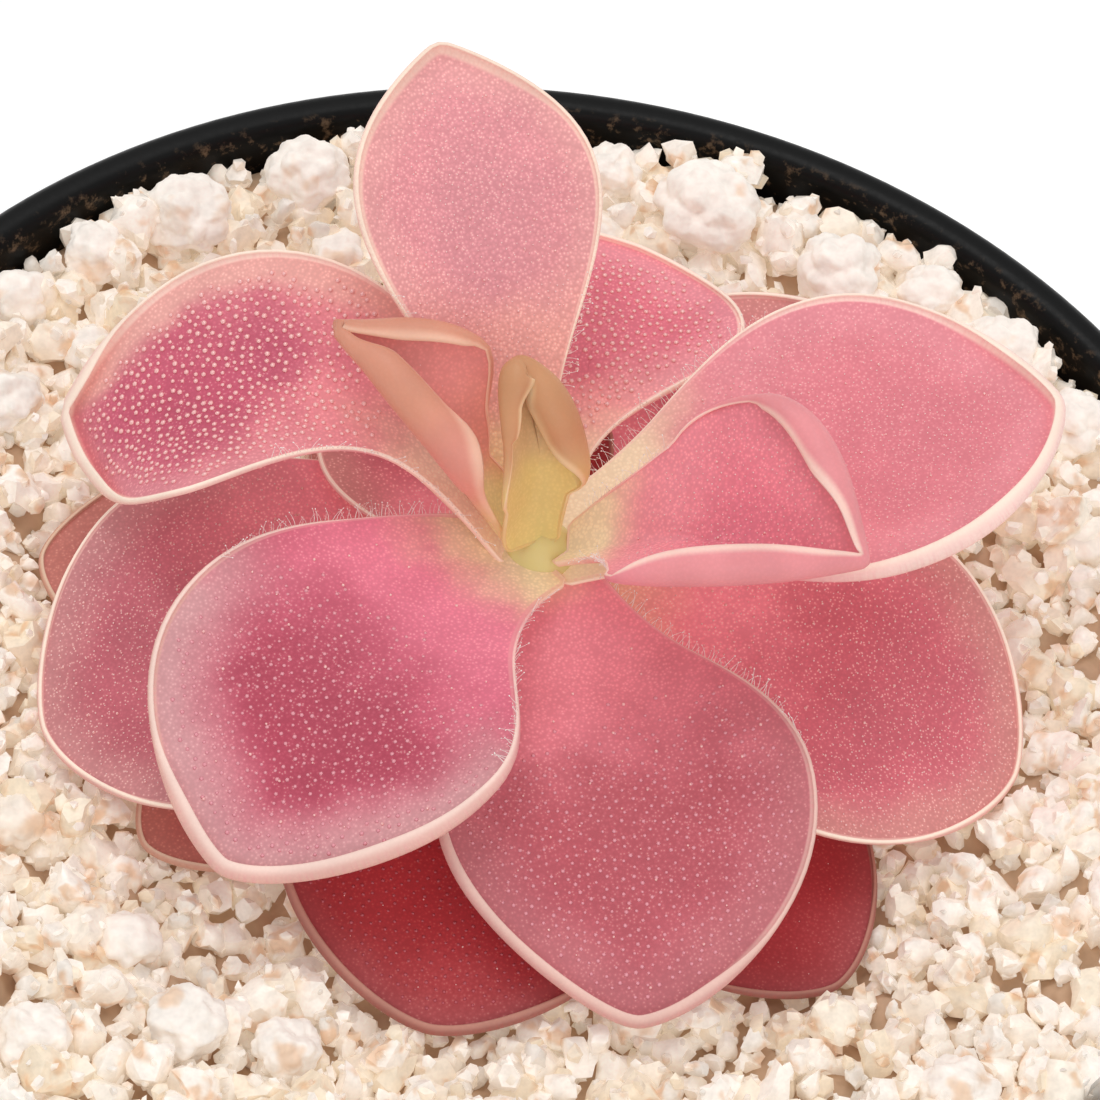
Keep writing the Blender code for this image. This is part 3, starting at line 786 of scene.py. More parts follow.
    def place(self, flat: Numbers, height: Numbers) -> Numbers:
        """Carry points of the flat blade to the arched leaf in the part's frame.

        Args:
            flat: Points on the flat blade.
            height: Their height over it.

        Returns:
            Points in millimetres.
        """
        stations, *fields = self.axes()
        midrib, along, across, out = (
            np.stack([np.interp(flat[:, 0], stations, way[:, axis]) for axis in range(3)], -1)
            for way in fields
        )
        past = (flat[:, 0] - np.clip(flat[:, 0], 0.0, self.length))[:, None]
        local = midrib + along * past + across * flat[:, 1:2] + out * height[:, None]
        zone = self.BASE_ZONE * self.length
        near = np.clip((zone - flat[:, 0]) / (zone + self.run_in), 0.0, 1.0)
        local[:, 2] += self.clasp * near ** 2
        start = math.radians(self.azimuth - self.bend / 2)
        cosine, sine = math.cos(start), math.sin(start)
        turn = np.array([[cosine, -sine, 0.0], [sine, cosine, 0.0], [0.0, 0.0, 1.0]])
        foot = np.array([self.CROWN[0] + self.stand * cosine,
                         self.CROWN[1] + self.stand * sine, self.rise])
        return local @ turn.T + foot

    def cup(self, flat: Numbers) -> Numbers:
        """Height that the dished or folded blade has over the midrib's plane.

        Args:
            flat: Points on the flat blade.

        Returns:
            The heights.
        """
        side = flat[:, 1]
        slope = math.tan(math.radians(self.fold))
        return self.dish * (side / (self.width / 2)) ** 2 + slope * np.abs(side)

    def relief(self, flat: Numbers, edge: Numbers) -> Numbers:
        """Gentle unevenness of the blade, none at its rim.

        Args:
            flat: Points on the flat blade.
            edge: Their distances from its rim.

        Returns:
            The heights.
        """
        seed = 7.3 * len(self.name) + self.azimuth
        spots = [Vector((x, y, seed)) for x, y in flat * self.SWELLS_PER_MM]
        swell = np.array([noise.noise(spot) + 0.3 * noise.noise(spot * 3.1) for spot in spots])
        return self.UNEVENNESS * swell * smooth_step(0.0, self.CALM_RIM, edge)

    def lip_length(self, share: Numbers, start: Numbers | float = 0.0,
                   swell: Numbers | float = 0.8, late: Numbers | float = 0.0) -> Numbers:
        """Length of the margin that rolls up, by the share of the blade's length.

        Args:
            share: The shares.
            start: Where a folded lip starts, or 0 for where the CAD leaf's does.
            swell: How slowly a folded lip grows: low values give it blunt ends.
            late: How much further along an unfolded lip grows.

        Returns:
            The lengths.
        """
        if self.folded:
            plain = np.asarray(start) == 0.0
            corner = np.where(plain, self.widest - self.FOLD_BEFORE, start)
            end = np.where(plain, self.FOLD_END, self.lip_end)
            part = np.clip((share - corner) / (end - corner), 0, 1)
            least = np.where(plain, self.FOLD_LEAST, self.SPINDLE_LEAST)
            grown = self.FOLD_SWELL * np.clip(np.sin(math.pi * part), 0, 1) ** swell
            return self.lip * (least + grown)
        grown = smooth_step(*self.LIP_GROWS, share - late)
        return self.lip * (self.LIP_LEAST + (1 - self.LIP_LEAST) * grown)

    def rim(self, count: int) -> tuple[Numbers, ...]:
        """Work out the blade's edge and the roll of its margin.

        The blade's edge is moved so that a lip of another length or turn than the CAD leaf's
        keeps the leaf's silhouette.

        Args:
            count: The number of points round the leaf.

        Returns:
            The edge's points, the outward way, the shares, the lip's lengths and its turns.
        """
        outline, outward, share = self.outline(count)
        side = outline[:, 1]
        ends = np.maximum(smooth_step(*self.TIP_ZONE, share),
                          smooth_step(*self.FOOT_ZONE, share))
        rise = self.TURN_LEAST + (1 - self.TURN_LEAST) * smooth_step(*self.TURN_GROWS, share)
        end_lip = self.end_lip or (self.left.lip + self.right.lip) / 2
        factor = self.sided(side, "lip") * (1 - ends) + end_lip * ends
        turn = self.sided(side, "turn") * (1 - ends) + self.end_turn * ends
        turn = np.radians(turn) * rise
        length = factor * self.lip_length(
            share, *(self.sided(side, size) for size in ("spindle", "swell", "late")))
        given = np.radians(self.curl) * rise
        reach = self.lip_length(share) / given * np.sin(np.minimum(given, math.pi / 2))
        reach -= length / turn * np.sin(np.minimum(turn, math.pi / 2))
        return outline + outward * reach[:, None], outward, share, length, turn

    def margin(self, part: float, depth: Numbers | float, count: int) -> Numbers:
        """Points on the rolled margin.

        Args:
            part: How far along the lip, from 0 at the blade to 1 at its edge.
            depth: How far under its upper face.
            count: The number of points round the leaf.

        Returns:
            Points in millimetres.
        """
        edge, outward, _, length, turn = self.rim(count)
        radius = length / turn
        angle = turn * part
        off = (radius + depth) * np.sin(angle)
        height = radius * (1.0 if self.folded else self.LIP_FLATNESS)
        up = height * (1 - np.cos(angle)) - depth * np.cos(angle)
        return self.place(edge + outward * off[:, None], self.cup(edge) + up)

    def mesh(self) -> bpy.types.Mesh:
        """Build the closed leaf, with the attributes that its flesh and its glands read.

        Returns:
            The mesh in metres.
        """
        edge, _, share, length, _ = self.rim(self.POINTS)
        middle = np.array([self.widest * self.length * self.MIDDLE, 0.0])
        steps = np.linalg.norm(np.roll(edge, -1, 0) - edge, axis=1)
        rimway = np.cumsum(steps) - steps
        thin = self.thick * self.RIM_THICKNESS
        curls = self.LIP_RINGS[self.folded]
        rings: list[Numbers] = []
        facts: dict[str, list[Numbers]] = {name: [] for name in FACTS}

        def note(points: Numbers, **values: Numbers | float) -> None:
            """Keep a ring and its facts."""
            rings.append(points)
            for name, stored in facts.items():
                stored.append(np.broadcast_to(values[name], len(points)))

        def blade(reach: float, depth: float, under: float) -> None:
            """Add a ring on the upper or the lower face."""
            flat = middle + reach * (edge - middle)
            if reach == 0:
                flat = flat[:1]
            gap = np.linalg.norm(flat[:, None] - edge[None], axis=2).min(1)
            height = self.cup(flat) - depth + self.relief(flat, gap)
            note(self.place(flat, height), along=flat[:, 0] / self.length, edge=gap, lip=0.0,
                 under=under, rimway=rimway[:len(flat)], side=flat[:, 1])

        def curl(part: float, depth: float, lip: float, under: float) -> None:
            """Add a ring on the rolled margin."""
            note(self.margin(part, depth, self.POINTS), along=share, edge=-part * length,
                 lip=lip, under=under, rimway=rimway, side=edge[:, 1])

        for step in range(self.BLADE_RINGS + 1):
            blade(math.sin(step / self.BLADE_RINGS * math.pi / 2), 0.0, 0.0)
        for step in range(1, curls + 1):
            curl(step / curls, 0.0, step / curls, 0.0)
        nose = thin * (1 - self.TAPER)
        for step in range(1, self.NOSE_RINGS + 1):
            angle = math.pi * step / (self.NOSE_RINGS + 1)
            curl(1.0 + self.NOSE * math.sin(angle), nose / 2 * (1 - math.cos(angle)), 1.0, 0.0)
        for step in range(curls, 0, -1):
            part = step / curls
            curl(part, thin * (1 - self.TAPER * part), part, 0.5 * (1 - part))
        for step in range(self.UNDER_RINGS, -1, -1):
            reach = step / self.UNDER_RINGS
            blade(reach, thin + (self.thick - thin) * (1 - reach ** 2),
                  0.5 + 0.5 * min(1.0, (1 - reach) * 4))
        return self._join(rings, facts)

    def _join(self, rings: list[Numbers], facts: dict[str, list[Numbers]]) -> bpy.types.Mesh:
        """Bridge rings of points into one closed mesh and store the facts as attributes.

        Args:
            rings: The rings, from the middle of the upper face to that of the lower one.
            facts: By name, the values on each ring.

        Returns:
            The mesh in metres.
        """
        starts = np.cumsum([0] + [len(ring) for ring in rings])
        count = self.POINTS
        faces: list[tuple[int, ...]] = []
        for index in range(len(rings) - 1):
            near, far = int(starts[index]), int(starts[index + 1])
            for step in range(count):
                after = (step + 1) % count
                if len(rings[index]) == 1:
                    faces.append((near, far + after, far + step))
                elif len(rings[index + 1]) == 1:
                    faces.append((far, near + step, near + after))
                else:
                    faces.append((near + step, near + after, far + after, far + step))
        mesh = bpy.data.meshes.new(self.name)
        mesh.from_pydata(np.concatenate(rings) * MM, [], faces)
        for name, stored in facts.items():
            mark(mesh, name, np.concatenate(stored))
        work = bmesh.new()
        work.from_mesh(mesh)
        bmesh.ops.recalc_face_normals(work, faces=work.faces)
        work.to_mesh(mesh)
        work.free()
        mesh.shade_smooth()
        return mesh

    def dew_share(self, mesh: bpy.types.Mesh, dew: Dew) -> Numbers:
        """How densely each vertex of the leaf is covered with drops, from 0 to 1.

        Args:
            mesh: The leaf's mesh.
            dew: The layer of drops.

        Returns:
            A value for each vertex.
        """
        read = {}
        for name in FACTS:
            read[name] = np.zeros(len(mesh.vertices), np.float32)
            mesh.attributes[name].data.foreach_get("value", read[name])
        bare = np.where(read["side"] > 0, dew.bare_rim, max(dew.bare_rim, dew.bare_right))
        inward, onward = self.DEW_FADE
        cover = smooth_step(0.0, 1.0, (read["edge"] - bare) / inward)
        cover = cover * smooth_step(dew.start, dew.start + onward, read["along"])
        return cover * (read["under"] < 0.1) * (read["lip"] < 0.05)


LEAVES = (
    Leaf("leaf_heart", Flush.TAN, BARE, 118.3, 76.8, 8.4, 2.5, (74, 39), bend=30,
         widest=0.42, base=1.7, dish=0.6, lip=1.9, curl=170, folded=True, stand=0.0,
         run_in=1.1, fringe=0.0, lip_end=1.15, end_turn=215,
         left=Side(1.1, 0.35, 0.22, 0.8, 205, 0.62, 0.36, 0.35),
         right=Side(0.73, 0.43, 0.45, 2.3, 265, 0.26, 1.9)),
    Leaf("leaf_bud_left", Flush.PEACH, BARE, 155.1, 76.3, 12.4, 4.1, (57.6, 14), bend=-12.5,
         roll=(7, 10), widest=0.42, base=2.6, dish=1.3, lip=2.5, curl=150, folded=True,
         stand=2.4, run_in=0.8, fringe=0.0, lip_end=1.02, end_lip=0.6, end_turn=230,
         left=Side(0.64, 0.3, 2.0, 1.5, 240, 0.08, 0.8, 0.6),
         right=Side(0.9, 0.58, 1.25, 1.0, 225, 0.58, 6.4, 0.35)),
    Leaf("leaf_young_right", Flush.HOT, FINE, 342, 76.1, 15.4, 10.2, (39.3, 15.2), bend=-3,
         roll=(4, 5.5), widest=0.52, tip=0.85, base=2.4, fold=25.7, lip=1.7, curl=125,
         folded=True, fringe=0.3, run_in=1.6,
         left=Side(0.93, 0.62, 1.09, 1.7, 238, 0.58, 0.6, 0.5),
         right=Side(0.94, 0.43, 0.89, 1.8, 180, 0.4, 3.4, 0.6)),
    Leaf("leaf_back_upright", Flush.SALMON, FINE, 113, 75.8, 21.9, 10.2, (48, 24),
         widest=0.68, tip=0.88, base=2.8, left=Side(lip=0.6), right=Side(lip=0.35), end_lip=0.8,
         end_turn=110),
    Leaf("leaf_front_left", Flush.ROSE, SOFT, 238.5, 74.8, 21.3, 15.5, (15, -28), bend=20,
         widest=0.56, tip=0.64, base=4.4, lip=1.4, clasp=0.3,
         left=Side(1.06, lip=1.1, turn=180, wedge=1.25, late=0.2),
         right=Side(tip=0.78, lip=0.42, turn=130), end_lip=0.9, end_turn=180),
    Leaf("leaf_left_arched", Flush.MAGENTA, ARCHED, 170.5, 74.9, 24.8, 11.8, (47, -50),
         bend=32, roll=(15, -21), widest=0.66, wedge=0.9, base=3.2, clasp=1.0,
         left=Side(1.18, 0.66, 0.45, 0.25, wedge=2.2),
         right=Side(0.95, 0.53, 1.2, 0.45), end_lip=1.1, end_turn=180),
    Leaf("leaf_right_broad", Flush.MOTTLED, FINE, 20.5, 73.7, 24.1, 14.8, (28, 0), tip=0.72,
         base=4.2, left=Side(lip=0.45), right=Side(lip=1.1, turn=170, wedge=1.2),
         end_lip=1.0, clasp=1.5),
    Leaf("leaf_back_right", Flush.BRIGHT, WET, 80, 72.8, 16.6, 13.0, (29, -6), bend=-16,
         widest=0.75, wedge=1.1, tip=0.6, base=2.6, lip=0.9, clasp=2.0),
    Leaf("leaf_front", Flush.RUBY, SOFT, 287, 72.1, 22.3, 15.8, (12, -27), bend=-22,
         roll=(5, 5), widest=0.56, tip=0.7, base=3.8, lip=1.4, clasp=2.6,
         left=Side(lip=0.35, turn=100, wedge=1.05), right=Side(lip=0.75, turn=150),
         end_lip=0.9),
    Leaf("leaf_back_short", Flush.DARK, BARE, 96, 70.8, 10.0, 6.5, (12, 0), base=2.6,
         dish=0.4, lip=0.6, thick=0.9),
    Leaf("leaf_back_left_short", Flush.SHADED, BARE, 143, 72.3, 11.0, 7.0, (12, -6),
         base=2.6, dish=0.4, lip=0.6, thick=0.9),
    Leaf("leaf_left_low", Flush.DUSTY, DUSTED, 204, 70.7, 22.8, 17.5, (17, -30), dish=0.7,
         lip=1.0, clasp=2.4, left=Side(lip=0.3, turn=90),
         right=Side(1.08, lip=0.25, turn=90, wedge=0.22)),
    Leaf("leaf_right_low", Flush.SHADED, DUSTED, 348, 70.1, 23.1, 16.8, (18, -28),
         roll=(5, 5), lip=1.0, clasp=2.0, left=Side(lip=0.25, turn=90),
         right=Side(lip=0.25, turn=90)),
    Leaf("leaf_back_left_low", Flush.FADED, BARE, 134, 69.7, 13.0, 9.0, (7, -6), base=2.6,
         dish=0.4, lip=0.6, thick=0.9),
    Leaf("leaf_back_right_low", Flush.SHADED, BARE, 52, 68.6, 22.2, 13.0, (17, -3),
         roll=(4, 4), base=3.0, dish=0.6, lip=0.8),
    Leaf("leaf_back_low", Flush.FADED, BARE, 91, 67.3, 15.0, 10.0, (8, -6), base=2.6,
         dish=0.4, lip=0.6, thick=0.9),
    Leaf("leaf_front_low", Flush.DARK, DIM, 265, 68.5, 21.3, 16.8, (6, -14), base=3.0,
         dish=0.6, lip=1.0, left=Side(lip=0.6), right=Side(lip=0.8, turn=140)),
    Leaf("leaf_left_bottom", Flush.FADED, BARE, 178, 68.2, 22.0, 13.0, (5, -10), base=2.6,
         dish=0.3, lip=0.6, thick=0.9),
    Leaf("leaf_front_left_bottom", Flush.FADED, BARE, 222, 66.7, 20.2, 10.0, (1, -2),
         base=2.4, dish=0.3, lip=0.5, thick=0.9),
    Leaf("leaf_front_right_bottom", Flush.DARK, BARE, 313, 66.7, 22.2, 13.5, (2, -3),
         base=2.4, dish=0.3, lip=0.6, thick=0.9),
)


@dataclass(frozen=True)
class StemFinish:
    """Moist stem tissue: pale yellow-green, translucent, darker and browner at the root."""

    name: str = "stem_tissue"
    young: str = "E4D28E"
    old: str = "7C5A36"
    soil_level: float = 65.0
    fade: float = 6.0

    def material(self) -> bpy.types.Material:
        """Make the material, browner with depth.

        Returns:
            The material.
        """
        made, add, shade = start_material(self.name)
        place = add("ShaderNodeTexCoord").outputs["Object"]
        height = add("ShaderNodeSeparateXYZ", {"Vector": place}).outputs["Z"]
        depth = add("ShaderNodeMapRange", {"Value": height, "From Min": self.soil_level * MM,
                                           "From Max": (self.soil_level + self.fade) * MM},
                    interpolation_type="SMOOTHSTEP")
        colour = add("ShaderNodeMix", {"Factor": depth, "A": linear(self.old),
                                       "B": linear(self.young)}, data_type="RGBA")
        shade({"Base Color": colour, "Roughness": 0.5, "Subsurface Weight": 0.3,
               "Subsurface Radius": (1.0, 0.8, 0.3), "Subsurface Scale": 0.8 * MM})
        return made


@dataclass
class Rosette:
    """The leaves with their drops and hairs, and the crown that carries them.

    hair_places is the number of points round a leaf that the line of hairs follows, from
    hair_start of its length on. The other hair sizes are in millimetres, or shares of the
    length or the radius. sunk is how far drops are lifted, as a share of the smallest radius.
    """

    crown_radius: float = 2.1
    crown_top: float = 75.8
    crown_foot: float = 50.0
    hair_places: int = 96
    hair_start: float = 0.03
    hair_pitch: float = 0.2
    hair_length: float = 0.8
    hair_radius: float = 0.022
    hair_taper: float = 0.4
    hair_tip: float = 2.0
    hair_bend: float = 0.35
    hair_depth: float = 0.1
    hair_aim: float = 1.12
    hair_lean: tuple[tuple[float, ...], ...] = ((-0.5, -0.5, -0.2), (0.5, 0.5, 0.6))
    hair_least: float = 0.45
    sunk: float = 0.4

    def slot(self, leaf: Leaf) -> str:
        """Find the record's slot of a leaf.

        Args:
            leaf: The leaf.

        Returns:
            The slot's name.
        """
        if leaf.flush in (Flush.TAN, Flush.PEACH):
            return "leaf_peach"
        return "leaf_dark_red" if leaf.flush is Flush.DARK else "leaf_pink"

    def build(self) -> None:
        """Make every leaf with what grows on it, and the crown."""
        flesh = {flush: flush.value.material() for flush in Flush}
        drops = {drop: drop.value.material() for drop in Drop}
        for number, leaf in enumerate(LEAVES):
            mesh = leaf.mesh()
            mesh.materials.append(flesh[leaf.flush])
            item = add_object(leaf.name.replace("leaf", "blade"), mesh)
            settle(item, self.slot(leaf), leaf.name)
            for layer, dew in enumerate(leaf.dew):
                grown = self.droplets(leaf, mesh, dew, drops[dew.kind], 10 * number + layer)
                settle(grown, self.slot(leaf))
            if leaf.fringe:
                settle(self.hairs(leaf, drops[Drop.HAIR], number), self.slot(leaf))
        self.crown()

    def droplets(self, leaf: Leaf, mesh: bpy.types.Mesh, dew: Dew, drop: bpy.types.Material,
                 seed: int) -> bpy.types.Object:
        """Scatter one layer of gland drops over the upper face of a leaf.

        Args:
            leaf: The leaf.
            mesh: Its mesh, whose attributes say where drops stand.
            dew: The layer's spacing and sizes.
            drop: The drops' material.
            seed: The seed of their places and sizes.

        Returns:
            The drops as one piece.
        """
        guide = mesh.copy()
        mark(guide, "cover", leaf.dew_share(mesh, dew))
        growth = Growth(leaf.name.replace("leaf", "drops") + f"_{seed % 10}", {
            "Spacing": dew.pitch * MM, "Smallest": dew.small * MM, "Largest": dew.large * MM,
            "Seed": seed, "Material": drop,
        })
        add = growth.add
        spots, size = growth.scatter("cover", dew.pitch * MM)
        ball = add("GeometryNodeMeshIcoSphere", {"Radius": 1.0, "Subdivisions": 1})
        lift = add("ShaderNodeVectorMath", {0: spots.outputs["Normal"],
                                            "Scale": dew.small * self.sunk * dew.flat * MM},
                   operation="SCALE")
        raised = add("GeometryNodeSetPosition", {"Geometry": spots, "Offset": lift})
        lens = add("ShaderNodeVectorMath", {0: (1.0, 1.0, dew.flat), "Scale": size},
                   operation="SCALE")
        drops = add("GeometryNodeInstanceOnPoints",
                    {"Points": raised, "Instance": ball,
                     "Rotation": spots.outputs["Rotation"], "Scale": lens})
        growth.close(drops)
        return growth.grow(guide)

    def hairs(self, leaf: Leaf, material: bpy.types.Material, seed: int) -> bpy.types.Object:
        """Set gland-tipped hairs along the margins of a leaf's inner half.

        Args:
            leaf: The leaf.
            material: The hairs' material.
            seed: The seed of their lean and length.

        Returns:
            The hairs as one piece.
        """
        count = self.hair_places
        _, _, share = leaf.outline(count)
        root = leaf.margin(1.0, self.hair_depth, count)
        way = leaf.margin(self.hair_aim, self.hair_depth, count) - root
        way = way / np.linalg.norm(way, axis=1)[:, None]
        keep = [index for index in range(count)
                if self.hair_start < share[index] < leaf.fringe]
        pairs = [(keep.index(index), keep.index(index) + 1) for index in keep
                 if index + 1 in keep]
        guide = bpy.data.meshes.new(leaf.name + "_margin")
        guide.from_pydata(root[keep] * MM, pairs, [])
        out = guide.attributes.new("out", "FLOAT_VECTOR", "POINT")
        out.data.foreach_set("vector", way[keep].astype(np.float32).ravel())
        growth = Growth(leaf.name.replace("leaf", "hairs"), {
            "Spacing": self.hair_pitch * MM, "Length": self.hair_length * MM,
            "Radius": self.hair_radius * MM, "Seed": seed, "Material": material,
        })
        add, inputs = growth.add, growth.inputs
        line = add("GeometryNodeMeshToCurve", {"Mesh": inputs["Geometry"]})
        line = add("GeometryNodeResampleCurve", {"Curve": line, "Length": inputs["Spacing"]},
                   mode="LENGTH")
        stem = add("GeometryNodeMeshCone",
                   {"Vertices": 4, "Side Segments": 3,
                    "Radius Top": self.hair_radius * self.hair_taper * MM,
                    "Radius Bottom": inputs["Radius"], "Depth": inputs["Length"]})
        tip = add("GeometryNodeMeshIcoSphere",
                  {"Radius": self.hair_radius * self.hair_tip * MM, "Subdivisions": 1})
        tip = add("GeometryNodeTransform",
                  {"Geometry": tip, "Translation": (0, 0, self.hair_length * MM)})
        hair = add("GeometryNodeJoinGeometry", {"Geometry": stem})
        growth.group.links.new(tip.outputs[0], hair.inputs[0])
        spot = add("ShaderNodeSeparateXYZ", {"Vector": add("GeometryNodeInputPosition")})
        square = add("ShaderNodeMath", {0: spot.outputs["Z"], 1: spot.outputs["Z"]},
                     operation="MULTIPLY")
        bend = add("ShaderNodeMath", {0: square, 1: self.hair_bend / (self.hair_length * MM)},
                   operation="MULTIPLY")
        hair = add("GeometryNodeSetPosition",
                   {"Geometry": hair, "Offset": add("ShaderNodeCombineXYZ", {"X": bend})})
        out = add("GeometryNodeInputNamedAttribute", {"Name": "out"}, data_type="FLOAT_VECTOR")
        least, most = self.hair_lean
        lean = add("FunctionNodeRandomValue", {"Min": least, "Max": most,
                                               "Seed": inputs["Seed"]},
                   data_type="FLOAT_VECTOR")
        aim = add("ShaderNodeVectorMath", {0: out, 1: lean}, operation="ADD")
        spin = add("FunctionNodeRandomValue", {"Min": (0, 0, 0), "Max": (0, 0, math.tau),
                                               "Seed": inputs["Seed"]},
                   data_type="FLOAT_VECTOR")
        turn = add("FunctionNodeAlignRotationToVector", {"Rotation": spin, "Vector": aim},
                   axis="Z")
        size = add("FunctionNodeRandomValue", {"Min": self.hair_least, "Max": 1.0,
                                               "Seed": inputs["Seed"]}, data_type="FLOAT")
        hairs = add("GeometryNodeInstanceOnPoints",
                    {"Points": line, "Instance": hair, "Rotation": turn, "Scale": size})
        growth.close(hairs)
        return growth.grow(guide)

    def crown(self) -> bpy.types.Object:
        """Turn the short stem with its domed top and root stub.

        Returns:
            The crown.
        """
        radius, foot, top = self.crown_radius, self.crown_foot, self.crown_top
        profile = [(0.0, foot), (0.5, foot + 0.2), (1.0, foot + 3.0), (1.6, foot + 8.0),
                   (radius, foot + 13.0), (radius, top - 3.0), (radius * 0.95, top - 1.9),
                   (radius * 0.8, top - 1.0), (radius * 0.45, top - 0.25), (0.0, top)]
        mesh = turned("crown_and_root", profile, 48, Leaf.CROWN, 60)
        mesh.materials.append(StemFinish().material())
        return settle(add_object("crown", mesh), "crown_yellow_green", "crown_and_root")


@dataclass(frozen=True)
class Stone:
    """Quartz grit, pumice or root dirt: broken mineral, smooth where it is quartz, else dusty.

    Each grain has its own tint between grey, pale and warm, kept in the attribute tint, and
    stains lie over all of them. size is the width of the cloudy spots in millimetres and pit the
    depth of the pores. through is a painted glow: warm emission that stands in for light the
    stone lets pass and lifts the shade between grains.
    """

    name: str
    pale: str
    warm: str
    grey: str
    stain: str
    size: float
    rough: float
    pit: float
    stain_share: float
    # painted glow: strength of a warm emission
    painted_glow: float

    PALE_FROM, PALE_TO = 0.3, 0.75
    PATCH = 2.6
    STAIN_EDGE = (0.56, 0.7)
    CLOUD_LIGHT = (0.86, 1.06)
    PIT_DEPTH = 0.4

    def material(self) -> bpy.types.Material:
        """Make the material from each grain's tint and its place.

        Returns:
            The material.
        """
        made, add, shade = start_material(self.name)
        place = add("ShaderNodeTexCoord").outputs["Object"]
        tint = add("ShaderNodeAttribute", attribute_name="tint").outputs["Fac"]
        ramp = add("ShaderNodeValToRGB", {"Fac": tint})
        stops = ramp.color_ramp.elements
        stops[0].color = linear(self.grey)
        stops[1].position, stops[1].color = 1.0, linear(self.warm)
        for position in (self.PALE_FROM, self.PALE_TO):
            stops.new(position).color = linear(self.pale)
        cloud = add("ShaderNodeTexNoise", {"Vector": place, "Scale": 1 / (self.size * MM),
                                           "Detail": 2.0, "Roughness": 0.7}).outputs["Fac"]
        patch = add("ShaderNodeTexNoise", {
            "Vector": place, "Scale": 1 / (self.PATCH * self.size * MM), "Detail": 2.0})
        stained = add("ShaderNodeMapRange", {
            "Value": patch, "From Min": self.STAIN_EDGE[0], "From Max": self.STAIN_EDGE[1],
            "To Max": self.stain_share}, interpolation_type="SMOOTHSTEP")
        colour = add("ShaderNodeMix", {"Factor": stained, "A": ramp, "B": linear(self.stain)},
                     data_type="RGBA")
        dark, bright = self.CLOUD_LIGHT
        light = add("ShaderNodeMapRange", {"Value": cloud, "From Min": 0.3, "From Max": 0.7,
                                           "To Min": dark, "To Max": bright})
        colour = add("ShaderNodeVectorMath", {0: colour, "Scale": light}, operation="SCALE")
        if self.pit:
            shade({"Normal": add("ShaderNodeBump", {
                "Height": cloud, "Strength": 0.6,
                "Distance": self.pit * self.PIT_DEPTH * MM})})
        # painted glow: warm emission stands in for light the stone lets pass and lifts the shade
        # between grains
        shade({"Base Color": colour, "Roughness": self.rough, "IOR": 1.5,
               "Emission Color": linear(self.warm), "Emission Strength": self.painted_glow})
        return made


class Mineral(Enum):
    """What the bed is made of."""

    QUARTZ = Stone("quartz_grit", "FBF3EB", "F0DFC6", "E0D9D2", "D9984E", 0.6, 0.24, 0.0, 0.6,
                   0.15)
    PUMICE = Stone("pumice", "FDF4EB", "F6E9DA", "F3ECE4", "DDA260", 0.9, 0.6, 0.3, 0.55, 0.1)
    DIRT = Stone("root_dirt", "C8A78A", "B28C6C", "BE9E80", "946844", 1.2, 0.85, 0.4, 0.5,
                 0.04)


@dataclass(frozen=True)
class Lump:
    """A lump of pumice that lies in the grit: where it is seen from above, and its radius."""

    x: float
    y: float
    radius: float


LUMPS = (
    Lump(-20.5, 27.5, 2.6), Lump(-14.5, 31.5, 2.5), Lump(-12.5, 27.0, 1.7),
    Lump(-25.0, 24.5, 2.0), Lump(-28.5, 21.0, 1.8), Lump(-24.3, 18.3, 1.5),
    Lump(-28.0, 14.0, 2.1), Lump(-21.0, 21.0, 1.5), Lump(7.0, 32.5, 3.0),
    Lump(1.5, 35.0, 1.9), Lump(12.0, 33.5, 1.4), Lump(1.5, 31.0, 1.5),
    Lump(14.5, 29.5, 2.6), Lump(19.5, 29.0, 2.0), Lump(23.5, 25.8, 2.3),
    Lump(27.5, 21.5, 2.1), Lump(28.5, 14.0, 1.8), Lump(-20.5, -25.0, 2.1),
    Lump(-13.5, -22.5, 2.3), Lump(-8.5, -22.5, 1.9), Lump(-17.0, -17.5, 1.8),
    Lump(-23.5, -11.5, 1.6), Lump(-28.5, -3.0, 1.8), Lump(24.0, -21.0, 2.2),
    Lump(9.0, -31.5, 2.3), Lump(31.5, -8.0, 1.9),
)


@dataclass(frozen=True)
class Layer:
    """One layer of loose grains.

    cover is the attribute that says how densely they lie, pitch their spacing, small and large
    their radii, lift their height over what they lie on and seed that of the draws.
    """

    name: str
    cover: str
    pitch: float
    small: float
    large: float
    lift: float
    seed: int


LAYERS = (
    Layer("quartz_lower", "bed", 1.15, 0.6, 1.15, 0.15, 3),
    Layer("quartz_upper", "bed", 1.5, 0.6, 1.5, 0.8, 4),
    Layer("quartz_clumps", "clump", 1.7, 0.7, 1.7, 1.7, 5),
)
CRUMBS = Layer("quartz_crumbs", "bed", 0.85, 0.2, 0.6, -0.02, 6)


